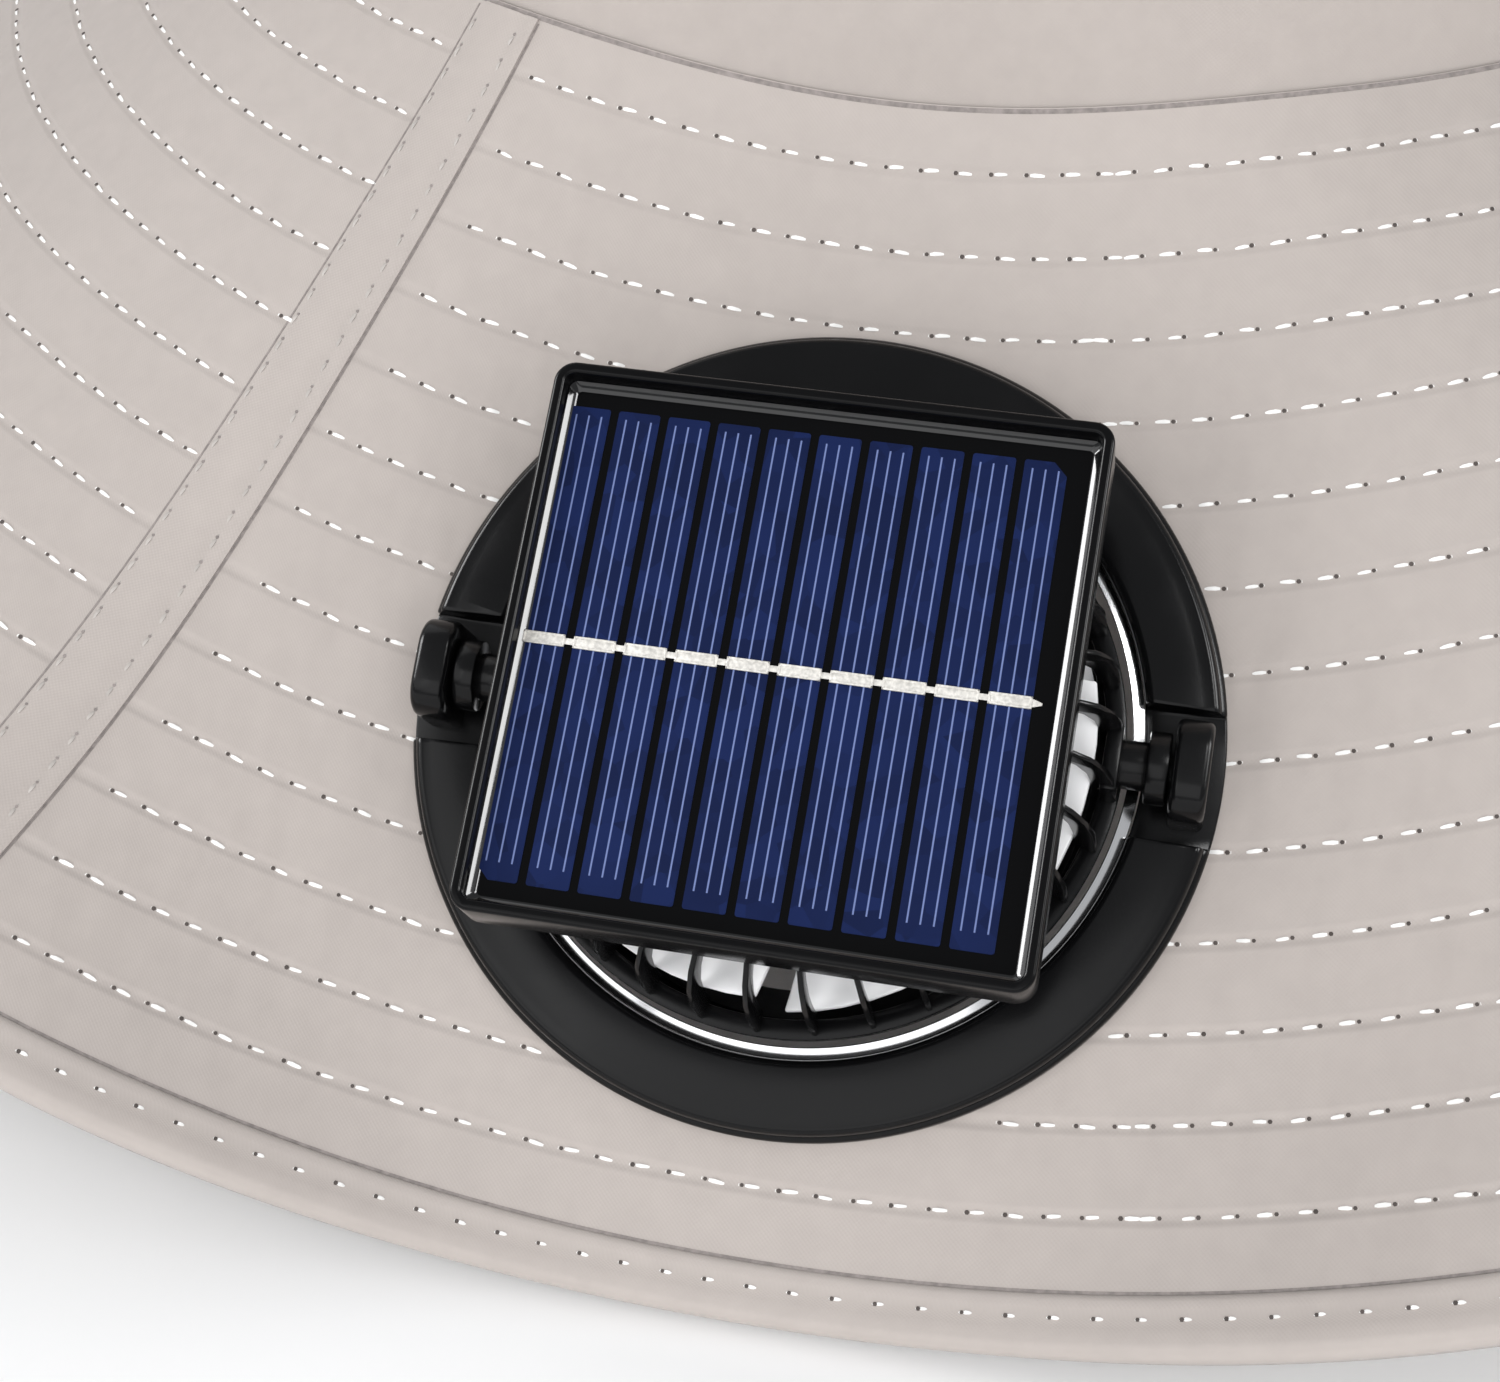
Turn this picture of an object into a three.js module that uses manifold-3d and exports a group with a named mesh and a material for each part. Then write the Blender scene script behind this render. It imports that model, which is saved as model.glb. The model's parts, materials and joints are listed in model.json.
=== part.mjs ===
// Sun hat whose wide brim carries a round fan at its front, under a small solar panel.
// Millimetres, +Z up. The hat's axis is Z and the fan is towards -Y.
// The origin is under the middle of the hat, on the surface that the edge of the brim rests on.

import * as THREE from 'three';
import { mergeVertices } from 'three/addons/utils/BufferGeometryUtils.js';
import Module from 'manifold-3d';

const wasm = await Module();
wasm.setup();

const DEGREE = Math.PI / 180;
const GAP = 0.3; // clearance between pieces that touch

// Crown
const CROWN_RADIUS = 95; // outside of the crown, where it meets the brim
const CROWN_HEIGHT = 88;
const CROWN_TOP_RADIUS = 84;
const CROWN_BULGE = 3; // how far the wall swells out half-way up
const CROWN_DOME = 8; // rise of the top over its rim
const CROWN_FLAT_RADIUS = 12; // level middle of the top
const CROWN_WALL = 2;
const SEAM_DEPTH = 3.2; // height of the joint between the crown and the brim

// Brim
const BRIM_WIDTH = 123; // along the cloth, from the crown to the edge
const BRIM_WALL = 2.4;
const BRIM_SLOPE = 43.8 * DEGREE; // mean slope at the front and the back
const BRIM_SIDE_RISE = 20.6 * DEGREE; // how much flatter the sides lie
const BRIM_RISE_SHARE = 0.287; // how soon the brim flattens away from the front, as a share
const BRIM_FLARE = 21.6 * DEGREE; // how much flatter the edge lies than the foot of the crown
const FLAT_RADIUS = 46; // the cloth lies flat this far round the fan
const FLAT_BLEND_RADIUS = 90; // and follows the brim again from here

// Hem and joining strips of the brim
const HEM_WIDTH = 5.7;
const HEM_WALL = 0.8;
const STRIP_WIDTH = 8.5;
const STRIP_WALL = 0.8;
const STRIP_ANGLE = -25.4 * DEGREE; // edge of the strip, from the front towards the left

// Fan bezel
const FAN_SLANT = 65.7; // fan centre along the cloth, from the crown
const BEZEL_RADIUS = 40;
const BEZEL_HEIGHT = 4.6;
const BEZEL_LIP_RADIUS = 32.3;
const COLLAR_RADIUS = 35.2;
const COLLAR_WALL = 1.8;
const COLLAR_DEPTH = 5.4;
const BACK_RING_RADIUS = 38.8;
const BACK_RING_WALL = 1.8;
const SEAT_CLEARANCE = 0.1; // the cloth under the bezel is trimmed to this height
const SEAT_REACH = 12;
const TRIM_WIDTH = 0.95;
const TRIM_HEIGHT = 3.2;
const TRIM_DEPTH = 1.3;
const NOTCH_WIDTH = 13;
const NOTCH_FLOOR = 1.6;
const EAR_WIDTH = 9.7;
const EAR_WALL = 3.5;
const EAR_OUTSIDE = 38.5;
const EAR_TOP = 10.4;
const EAR_CORNER = 3.2;

// Fan head, a ball that tilts between the ears
const PIVOT_HEIGHT = 6; // ear axis above the cloth
const HEAD_RADIUS = 30.6; // nothing but the bosses and the panel lies outside this ball
const HEAD_TILT = 4.9 * DEGREE; // the outer edge of the head is raised by this
const PIN_RADIUS = 1.4;
const PIN_LENGTH = 2.5;
const BOSS_RADIUS = 3.5;
const NECK_RADIUS = 2.35;
const LUG_WIDTH = 6.6;
const LUG_WALL = 1.6;
const RIM_TOP = -2.2; // top of the grille's rim, from the ear axis
const RIM_HEIGHT = 1.6;
const RIM_WALL = 2;
const FIN_COUNT = 34;
const FIN_WALL = 1.1;
const FIN_DEPTH = 3.2;
const CAGE_TOP = 13; // top of the cage, from the ear axis
const CAGE_CAP_RADIUS = 11;
const CAGE_CAP_WALL = 2;
const DRUM_WALL = 1.6;
const DRUM_BOTTOM = -11;
const GUARD_WALL = 1.5;
const GUARD_RIM_WIDTH = 4;
const GUARD_SPOKE_COUNT = 6;
const GUARD_SPOKE_WIDTH = 2.4;
const GUARD_HUB_RADIUS = 10;

// Rotor and motor
const ROTOR_RADIUS = 26.6;
const ROTOR_BOTTOM = -3.4;
const BLADE_COUNT = 7;
const BLADE_HEIGHT = 8;
const BLADE_WALL = 1.1;
const BLADE_ROOT_CHORD = 9;
const BLADE_TIP_CHORD = 16;
const HUB_RADIUS = 10;
const HUB_HEIGHT = 5;
const MOTOR_RADIUS = 8.5;
const SHAFT_RADIUS = 1;
const SHAFT_LENGTH = 3.5; // of the motor's shaft inside the hub

// Solar panel
const PANEL_WIDTH = 51.8;
const PANEL_LENGTH = 52.3;
const PANEL_TOP = 19.5; // rim of the tray, from the ear axis
const TRAY_HEIGHT = 6;
const TRAY_WALL = 1.1;
const TRAY_FLOOR = 1.3;
const TRAY_CORNER = 2;
const BOARD_WALL = 1;
const CELL_COUNT = 10;
const CELL_SIDE_MARGIN = 2.7; // from the edge of the tray to the cells
const CELL_END_MARGIN = 3.6;
const CELL_GAP = 0.8;
const CELL_WALL = 0.5;
const CELL_CORNER = 0.5;
const RESIN_EDGE_DROP = 0.5; // resin at the tray's wall, under its rim
const RIBBON_WIDTH = 1.3;
const RIBBON_LINK_WIDTH = 0.5;
const RIBBON_WALL = 0.25;

// Facets
const CROWN_SIDES = 40;
const BRIM_STEP = 6 * DEGREE;
const FINE_ANGLE = 18 * DEGREE; // the brim has half that step up to here from the front
const RING_SIDES = 40;
const SEAT_SIDES = 32;
const ROUND_SIDES = 24;
const PIN_SIDES = 12;
const SLOPE_STEPS = 12;

function material(color, roughness, metalness = 0) {
  return new THREE.MeshStandardMaterial({ color, roughness, metalness });
}

const CLOTH = material(0xc5bfb9, 0.9);
const CLOTH_EDGE = material(0xbdb6b0, 0.9);
const BLACK_SATIN = material(0x1c1c1d, 0.45);
const BLACK_GLOSS = material(0x0c0c0d, 0.15);
const WHITE_PLASTIC = material(0xeeeeee, 0.4);
const BRIGHT_METAL = material(0xe6e6e8, 0.12, 1);
const MOTOR_METAL = material(0xa8a9ab, 0.35, 1);
const RESIN = material(0x101114, 0.08);
const CELL_BLUE = material(0x1d2f66, 0.3);
const SOLDER = material(0xdad8d2, 0.4, 0.6);

/** Turns a closed geometry's faces outwards, by the sign of its volume. */
function outward(geometry) {
  const points = geometry.getAttribute('position');
  const index = geometry.getIndex().array;
  const a = new THREE.Vector3();
  const b = new THREE.Vector3();
  const c = new THREE.Vector3();
  let volume = 0;
  for (let i = 0; i < index.length; i += 3) {
    a.fromBufferAttribute(points, index[i]);
    b.fromBufferAttribute(points, index[i + 1]);
    c.fromBufferAttribute(points, index[i + 2]);
    volume += a.dot(b.cross(c));
  }
  if (volume < 0) {
    for (let i = 0; i < index.length; i += 3) {
      const kept = index[i + 1];
      index[i + 1] = index[i + 2];
      index[i + 2] = kept;
    }
  }
  return geometry;
}

/** Closed body through sections, which are closed outlines of equally many points. */
function loft(sections, ring = false) {
  const count = sections[0].length;
  const index = [];
  const spans = ring ? sections.length : sections.length - 1;
  for (let i = 0; i < spans; i += 1) {
    const here = i * count;
    const next = ((i + 1) % sections.length) * count;
    for (let k = 0; k < count; k += 1) {
      const after = (k + 1) % count;
      index.push(here + k, here + after, next + after);
      index.push(here + k, next + after, next + k);
    }
  }
  if (!ring) {
    const last = (sections.length - 1) * count;
    for (let k = 1; k < count - 1; k += 1) {
      index.push(0, k + 1, k);
      index.push(last, last + k, last + k + 1);
    }
  }
  const geometry = new THREE.BufferGeometry();
  geometry.setFromPoints(sections.flat());
  geometry.setIndex(index);
  return outward(geometry);
}

/** Turned body: a closed profile of [radius, height] pairs round Z. */
function turned(profile, sides) {
  const closed = [...profile, profile[0]].map(([r, z]) => new THREE.Vector2(r, z));
  const geometry = new THREE.LatheGeometry(closed, sides).rotateX(Math.PI / 2);
  return outward(geometry);
}

/** Turned body whose profile starts and ends on the axis. */
function turnedFromAxis(profile, sides) {
  const points = profile.map(([r, z]) => new THREE.Vector2(r, z));
  const geometry = new THREE.LatheGeometry(points, sides).rotateX(Math.PI / 2);
  return outward(geometry);
}

function block(x0, x1, y0, y1, z0, z1) {
  const geometry = new THREE.BoxGeometry(x1 - x0, y1 - y0, z1 - z0);
  return geometry.translate((x0 + x1) / 2, (y0 + y1) / 2, (z0 + z1) / 2);
}

/** Upright round bar from height z0 to z1. */
function bar(radius, z0, z1, sides = ROUND_SIDES) {
  const geometry = new THREE.CylinderGeometry(radius, radius, z1 - z0, sides);
  return geometry.rotateX(Math.PI / 2).translate(0, 0, (z0 + z1) / 2);
}

/** Round bar along X from x0 to x1. */
function crossBar(radius, x0, x1, sides = PIN_SIDES) {
  const geometry = new THREE.CylinderGeometry(radius, radius, x1 - x0, sides);
  return geometry.rotateZ(Math.PI / 2).translate((x0 + x1) / 2, 0, 0);
}

/** Upright plate with rounded corners, centred on the axis. */
function roundedPlate(width, length, corner, z0, z1, steps = 3) {
  const x = width / 2 - corner;
  const y = length / 2 - corner;
  const shape = new THREE.Shape();
  shape.absarc(x, y, corner, 0, 90 * DEGREE);
  shape.absarc(-x, y, corner, 90 * DEGREE, 180 * DEGREE);
  shape.absarc(-x, -y, corner, 180 * DEGREE, 270 * DEGREE);
  shape.absarc(x, -y, corner, 270 * DEGREE, 360 * DEGREE);
  const geometry = new THREE.ExtrudeGeometry(shape, {
    depth: z1 - z0,
    bevelEnabled: false,
    curveSegments: steps,
  });
  return geometry.translate(0, 0, z0);
}

/** Solid of a closed geometry, for joins and cuts. */
function solid(geometry) {
  const bare = new THREE.BufferGeometry();
  bare.setAttribute('position', geometry.getAttribute('position'));
  bare.setIndex(geometry.getIndex());
  const merged = mergeVertices(bare, 1e-4);
  const source = merged.getIndex().array;
  const triangles = [];
  for (let i = 0; i < source.length; i += 3) {
    const [a, b, c] = source.slice(i, i + 3);
    if (a !== b && b !== c && c !== a) triangles.push(a, b, c);
  }
  return new wasm.Manifold(new wasm.Mesh({
    numProp: 3,
    vertProperties: new Float32Array(merged.getAttribute('position').array),
    triVerts: new Uint32Array(triangles),
  }));
}

function geometryOf(body) {
  const mesh = body.getMesh();
  const geometry = new THREE.BufferGeometry();
  geometry.setAttribute('position', new THREE.BufferAttribute(mesh.vertProperties, 3));
  geometry.setIndex(new THREE.BufferAttribute(mesh.triVerts, 1));
  return geometry;
}

function joined(geometries) {
  return geometries.map(solid).reduce((body, next) => body.add(next));
}

function cut(body, geometries) {
  return geometries.map(solid).reduce((rest, next) => rest.subtract(next), body);
}

function piece(name, geometry, finish) {
  geometry.computeVertexNormals();
  const mesh = new THREE.Mesh(geometry, finish);
  mesh.name = name;
  return mesh;
}

/** Slope of the brim at an angle from the front, a share of its width out from the crown. */
function brimSlope(angle, share) {
  const side = Math.sin(angle) ** 2;
  const rise = BRIM_SIDE_RISE * side * (1 + BRIM_RISE_SHARE) / (side + BRIM_RISE_SHARE);
  return BRIM_SLOPE - rise + BRIM_FLARE * (0.5 - share);
}

/** Point of the brim's upper face before it is flattened round the fan. The crown's foot is at 0. */
function openBrimPoint(slant, angle) {
  const step = slant / SLOPE_STEPS;
  let radius = CROWN_RADIUS;
  let height = 0;
  for (let i = 0; i < SLOPE_STEPS; i += 1) {
    const slope = brimSlope(angle, (i + 0.5) * step / BRIM_WIDTH);
    radius += step * Math.cos(slope);
    height -= step * Math.sin(slope);
  }
  return new THREE.Vector3(radius * Math.sin(angle), -radius * Math.cos(angle), height);
}

const fanSlope = brimSlope(0, FAN_SLANT / BRIM_WIDTH);
const fanCentre = openBrimPoint(FAN_SLANT, 0);
const fanNormal = new THREE.Vector3(0, -Math.sin(fanSlope), Math.cos(fanSlope));

/** Point of the brim's upper face, which lies in the fan's plane round the fan. */
function brimPoint(slant, angle) {
  const point = openBrimPoint(slant, angle);
  const offset = point.clone().sub(fanCentre);
  const height = offset.dot(fanNormal);
  const distance = Math.sqrt(Math.max(offset.lengthSq() - height * height, 0));
  const share = (FLAT_BLEND_RADIUS - distance) / (FLAT_BLEND_RADIUS - FLAT_RADIUS);
  const weight = THREE.MathUtils.smoothstep(share, 0, 1);
  return point.addScaledVector(fanNormal, -weight * height);
}

/** Point a depth under the brim's upper face, square to the cloth. */
function underBrim(slant, angle, depth) {
  const along = brimPoint(slant + 1, angle).sub(brimPoint(slant - 1, angle));
  const across = brimPoint(slant, angle + DEGREE).sub(brimPoint(slant, angle - DEGREE));
  const normal = along.cross(across).normalize();
  if (normal.z < 0) normal.negate();
  return brimPoint(slant, angle).addScaledVector(normal, -depth);
}

/** Angles of the sections round the brim, closer together by the fan. */
function brimAngles() {
  const angles = [];
  const steps = Math.round(2 * Math.PI / BRIM_STEP);
  for (let i = 0; i < steps; i += 1) {
    const angle = -Math.PI + i * BRIM_STEP;
    angles.push(angle);
    if (Math.abs(angle + BRIM_STEP / 2) < FINE_ANGLE) angles.push(angle + BRIM_STEP / 2);
  }
  return angles;
}

// Stations across the brim, as shares of its cloth from the crown to the hem
const BRIM_STATIONS = [0, 0.08, 0.24, 0.4, 0.56, 0.72, 0.86, 1];

function brim() {
  const slants = BRIM_STATIONS.map((share) => share * (BRIM_WIDTH - HEM_WIDTH));
  slants.push(BRIM_WIDTH - HEM_WALL - GAP);
  const sections = brimAngles().map((angle) => {
    const top = slants.map((slant) => brimPoint(slant, angle));
    const under = slants.slice(1).map((slant) => underBrim(slant, angle, BRIM_WALL));
    const foot = top[0].clone().add(new THREE.Vector3(0, 0, -SEAM_DEPTH));
    return [...top, ...under.reverse(), foot];
  });
  const seat = solid(loft(sections, true));
  const above = bar(BEZEL_RADIUS + 1, SEAT_CLEARANCE, SEAT_REACH, SEAT_SIDES);
  const below = bar(BACK_RING_RADIUS + 1, -BRIM_WALL - SEAT_REACH, -BRIM_WALL - SEAT_CLEARANCE, SEAT_SIDES);
  const hole = bar(COLLAR_RADIUS + GAP, -SEAT_REACH, SEAT_REACH, SEAT_SIDES);
  const cutters = [above, below, hole].map((cutter) => (
    cutter.rotateX(fanSlope).translate(fanCentre.x, fanCentre.y, fanCentre.z)
  ));
  return piece('brim', geometryOf(cut(seat, cutters)), CLOTH);
}

function brimHem() {
  const inner = BRIM_WIDTH - HEM_WIDTH;
  const sections = brimAngles().map((angle) => [
    underBrim(BRIM_WIDTH - HEM_WALL, angle, -GAP),
    underBrim(BRIM_WIDTH - HEM_WALL, angle, BRIM_WALL + GAP),
    underBrim(inner, angle, BRIM_WALL + GAP),
    underBrim(inner, angle, BRIM_WALL + GAP + HEM_WALL),
    underBrim(BRIM_WIDTH, angle, BRIM_WALL + GAP + HEM_WALL),
    underBrim(BRIM_WIDTH, angle, -GAP - HEM_WALL),
    underBrim(inner, angle, -GAP - HEM_WALL),
    underBrim(inner, angle, -GAP),
  ]);
  return piece('brim_hem', loft(sections, true), CLOTH_EDGE);
}

/** Strip of cloth across the brim that covers a joint of its two halves. */
function brimStrip(name, angle) {
  const start = 1;
  const end = BRIM_WIDTH - HEM_WIDTH - 1;
  const sections = BRIM_STATIONS.map((share) => {
    const slant = start + share * (end - start);
    const point = brimPoint(slant, angle);
    const other = angle - STRIP_WIDTH / Math.hypot(point.x, point.y);
    return [
      underBrim(slant, other, -GAP),
      underBrim(slant, angle, -GAP),
      underBrim(slant, angle, -GAP - STRIP_WALL),
      underBrim(slant, other, -GAP - STRIP_WALL),
    ];
  });
  return piece(name, loft(sections), CLOTH_EDGE);
}

/** Wall of the crown, whose foot stands just inside the brim's inner edge. */
function crownSide() {
  const rise = [0, 0.3, 0.65, 1];
  const sections = brimAngles().map((angle) => {
    const edge = brimPoint(0, angle);
    const outside = Math.hypot(edge.x, edge.y) - GAP;
    const wall = rise.map((share) => [
      THREE.MathUtils.lerp(outside, CROWN_TOP_RADIUS, share) + CROWN_BULGE * Math.sin(Math.PI * share),
      THREE.MathUtils.lerp(edge.z, CROWN_HEIGHT, share),
    ]);
    const outer = [[outside, edge.z - SEAM_DEPTH], ...wall];
    const inner = outer.map(([r, z]) => [r - CROWN_WALL, z]).reverse();
    return [...outer, ...inner].map(([r, z]) => (
      new THREE.Vector3(r * Math.sin(angle), -r * Math.cos(angle), z)
    ));
  });
  return piece('crown_side', loft(sections, true), CLOTH);
}

function crownTop() {
  const base = CROWN_HEIGHT + GAP;
  const shares = [1, 0.8, 0.5];
  const over = (share) => CROWN_DOME * (1 - share ** 2);
  const top = shares.map((share) => [CROWN_TOP_RADIUS * share, base + CROWN_WALL + over(share)]);
  const level = base + CROWN_WALL + CROWN_DOME;
  const inside = (CROWN_TOP_RADIUS - 2 * CROWN_WALL);
  const under = shares.map((share) => [inside * share, base + over(share)]).reverse();
  const profile = [
    [0, level - CROWN_WALL],
    ...under,
    [CROWN_TOP_RADIUS, base],
    ...top,
    [CROWN_FLAT_RADIUS, level],
    [0, level],
  ];
  return piece('crown_top', turnedFromAxis(profile, CROWN_SIDES), CLOTH);
}

function fanBezel() {
  const inside = COLLAR_RADIUS - COLLAR_WALL;
  const ring = turned([
    [BEZEL_LIP_RADIUS, BEZEL_HEIGHT - 0.5],
    [BEZEL_LIP_RADIUS + 0.7, BEZEL_HEIGHT],
    [BEZEL_RADIUS - 2.4, BEZEL_HEIGHT - 0.4],
    [BEZEL_RADIUS - 1.1, BEZEL_HEIGHT - 0.7],
    [BEZEL_RADIUS - 0.2, BEZEL_HEIGHT - 1.7],
    [BEZEL_RADIUS, GAP],
    [COLLAR_RADIUS, GAP],
    [COLLAR_RADIUS, -COLLAR_DEPTH],
    [inside, -COLLAR_DEPTH],
    [inside, -0.6],
    [BEZEL_LIP_RADIUS, 0.6],
  ], RING_SIDES);
  const earInside = EAR_OUTSIDE - EAR_WALL;
  const notches = [];
  const ears = [];
  const bores = [];
  for (const side of [-1, 1]) {
    const turn = side > 0 ? 0 : Math.PI;
    const half = NOTCH_WIDTH / 2;
    notches.push(block(BEZEL_LIP_RADIUS - 1, BEZEL_RADIUS + 1, -half, half, NOTCH_FLOOR, BEZEL_HEIGHT + 1).rotateZ(turn));
    const root = NOTCH_FLOOR - 0.6;
    const ear = roundedPlate(EAR_WIDTH, 2 * (EAR_TOP - root), EAR_CORNER, earInside, EAR_OUTSIDE);
    ear.rotateX(Math.PI / 2).rotateZ(Math.PI / 2).translate(0, 0, root);
    ears.push(ear.rotateZ(turn));
    const bore = crossBar(PIN_RADIUS + GAP, earInside - 1, earInside + PIN_LENGTH + GAP);
    bores.push(bore.translate(0, 0, PIVOT_HEIGHT).rotateZ(turn));
  }
  const under = block(-BEZEL_RADIUS - 1, BEZEL_RADIUS + 1, -EAR_WIDTH, EAR_WIDTH, -3 * EAR_TOP, NOTCH_FLOOR - 0.6);
  const posts = cut(joined(ears), [under, ...bores]);
  const body = cut(solid(ring), notches).add(posts);
  return piece('fan_bezel', geometryOf(body), BLACK_SATIN);
}

function trimRing() {
  const outer = BEZEL_LIP_RADIUS - GAP;
  const inner = outer - TRIM_WIDTH;
  const bottom = TRIM_HEIGHT - TRIM_DEPTH;
  const profile = [
    [outer, bottom],
    [outer, TRIM_HEIGHT - 0.2],
    [(inner + outer) / 2, TRIM_HEIGHT],
    [inner, TRIM_HEIGHT - 0.2],
    [inner, bottom],
  ];
  return piece('trim_ring', turned(profile, RING_SIDES), BRIGHT_METAL);
}

function bezelBackRing() {
  const inner = COLLAR_RADIUS + GAP;
  const top = -BRIM_WALL - GAP;
  const profile = [
    [inner, top],
    [BACK_RING_RADIUS, top],
    [BACK_RING_RADIUS, top - BACK_RING_WALL],
    [inner, top - BACK_RING_WALL],
  ];
  return piece('bezel_back_ring', turned(profile, RING_SIDES), BLACK_SATIN);
}

/** Radius of the head's ball at a height from the ear axis. */
function ballRadius(z) {
  return Math.sqrt(HEAD_RADIUS ** 2 - z ** 2);
}

// Upper edge of a fin: radius as a share of the way from the cap to the rim, height of the way up
const FIN_EDGE = [
  { out: 1, up: 0 },
  { out: 0.98, up: 0.5 },
  { out: 0.82, up: 0.88 },
  { out: 0, up: 1 },
];

function fin(angle) {
  const rimMiddle = ballRadius(RIM_TOP) - RIM_WALL / 2;
  const from = CAGE_CAP_RADIUS - 1;
  const edge = FIN_EDGE.map(({ out, up }) => ({
    r: from + out * (rimMiddle + 0.6 - from),
    z: RIM_TOP - 0.3 + up * (CAGE_TOP - RIM_TOP),
  }));
  const back = FIN_EDGE.map(({ out, up }) => ({
    r: from + out * (rimMiddle + 0.6 - FIN_DEPTH * 0.7 - from),
    z: Math.max(RIM_TOP - 0.3, RIM_TOP - 0.3 + up * (CAGE_TOP - FIN_DEPTH - RIM_TOP)),
  })).reverse();
  const shape = new THREE.Shape([...edge, ...back].map(({ r, z }) => new THREE.Vector2(r, z)));
  const geometry = new THREE.ExtrudeGeometry(shape, { depth: FIN_WALL, bevelEnabled: false });
  return geometry.rotateX(Math.PI / 2).translate(0, FIN_WALL / 2, 0).rotateZ(angle);
}

function fanGrille() {
  const outer = ballRadius(RIM_TOP);
  const rim = turned([
    [outer, RIM_TOP],
    [ballRadius(RIM_TOP - RIM_HEIGHT), RIM_TOP - RIM_HEIGHT],
    [outer - RIM_WALL, RIM_TOP - RIM_HEIGHT],
    [outer - RIM_WALL, RIM_TOP],
  ], RING_SIDES);
  const cap = bar(CAGE_CAP_RADIUS, CAGE_TOP - CAGE_CAP_WALL, CAGE_TOP);
  const parts = [rim, cap];
  for (let i = 0; i < FIN_COUNT; i += 1) {
    parts.push(fin((i + 0.5) * 2 * Math.PI / FIN_COUNT));
  }
  const earInside = EAR_OUTSIDE - EAR_WALL;
  const neckEnd = BEZEL_LIP_RADIUS + GAP;
  for (const side of [-1, 1]) {
    const turn = side > 0 ? 0 : Math.PI;
    const half = LUG_WIDTH / 2;
    const lug = block(outer - RIM_WALL, outer - 0.4, -half, half, RIM_TOP - RIM_HEIGHT, NECK_RADIUS + 0.3);
    parts.push(lug.rotateZ(turn));
    parts.push(crossBar(NECK_RADIUS, outer - LUG_WALL, neckEnd + 0.5).rotateZ(turn));
    parts.push(crossBar(BOSS_RADIUS, neckEnd, earInside - GAP, ROUND_SIDES).rotateZ(turn));
    parts.push(crossBar(PIN_RADIUS, earInside - 1, earInside + PIN_LENGTH).rotateZ(turn));
  }
  return piece('fan_grille', geometryOf(joined(parts)), BLACK_SATIN);
}

function fanDrum() {
  const top = RIM_TOP - RIM_HEIGHT - GAP;
  const middle = (top + DRUM_BOTTOM) / 2;
  const inside = ballRadius(top) - DRUM_WALL;
  const opening = ballRadius(DRUM_BOTTOM) - GUARD_RIM_WIDTH;
  const wall = turned([
    [ballRadius(top), top],
    [ballRadius(middle), middle],
    [ballRadius(DRUM_BOTTOM), DRUM_BOTTOM],
    [opening, DRUM_BOTTOM],
    [opening, DRUM_BOTTOM + GUARD_WALL],
    [ballRadius(DRUM_BOTTOM) - DRUM_WALL, DRUM_BOTTOM + GUARD_WALL],
    [ballRadius(middle) - DRUM_WALL, middle],
    [inside, top],
  ], RING_SIDES);
  const parts = [wall, bar(GUARD_HUB_RADIUS, DRUM_BOTTOM, DRUM_BOTTOM + GUARD_WALL)];
  for (let i = 0; i < GUARD_SPOKE_COUNT; i += 1) {
    const half = GUARD_SPOKE_WIDTH / 2;
    const spoke = block(GUARD_HUB_RADIUS - 1, opening + 1, -half, half, DRUM_BOTTOM, DRUM_BOTTOM + GUARD_WALL);
    parts.push(spoke.rotateZ(i * 2 * Math.PI / GUARD_SPOKE_COUNT));
  }
  return piece('fan_drum', geometryOf(joined(parts)), BLACK_SATIN);
}

// Sections of a blade: radius as a share of the way from the hub to the tip
const BLADE_SECTIONS = [0, 0.33, 0.67, 1];

function blade(angle) {
  const root = HUB_RADIUS - 0.8;
  const sections = BLADE_SECTIONS.map((share) => {
    const radius = root + share * (ROTOR_RADIUS - root);
    const chord = BLADE_ROOT_CHORD + share * (BLADE_TIP_CHORD - BLADE_ROOT_CHORD);
    const sweep = chord / 2 / radius;
    const corner = (turn, z) => new THREE.Vector3(
      radius * Math.cos(angle + turn),
      radius * Math.sin(angle + turn),
      ROTOR_BOTTOM + z,
    );
    return [
      corner(-sweep, 0),
      corner(0, BLADE_HEIGHT * 0.42),
      corner(sweep, BLADE_HEIGHT - BLADE_WALL),
      corner(sweep, BLADE_HEIGHT),
      corner(0, BLADE_HEIGHT * 0.42 + BLADE_WALL),
      corner(-sweep, BLADE_WALL),
    ];
  });
  return loft(sections);
}

function fanRotor() {
  const parts = [bar(HUB_RADIUS, ROTOR_BOTTOM, ROTOR_BOTTOM + HUB_HEIGHT)];
  for (let i = 0; i < BLADE_COUNT; i += 1) {
    parts.push(blade(i * 2 * Math.PI / BLADE_COUNT));
  }
  const hubTop = ROTOR_BOTTOM + HUB_HEIGHT;
  const body = cut(joined(parts), [
    bar(MOTOR_RADIUS + 1, hubTop, CAGE_TOP),
    bar(SHAFT_RADIUS + GAP, hubTop - SHAFT_LENGTH - GAP, CAGE_TOP, PIN_SIDES),
  ]);
  return piece('fan_rotor', geometryOf(body), WHITE_PLASTIC);
}

function fanMotor() {
  const hubTop = ROTOR_BOTTOM + HUB_HEIGHT;
  const bottom = hubTop + GAP;
  const top = CAGE_TOP - CAGE_CAP_WALL - GAP;
  const shaft = bar(SHAFT_RADIUS, hubTop - SHAFT_LENGTH, bottom + 1, PIN_SIDES);
  const body = joined([bar(MOTOR_RADIUS, bottom, top), shaft]);
  return piece('fan_motor', geometryOf(body), MOTOR_METAL);
}

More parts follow.
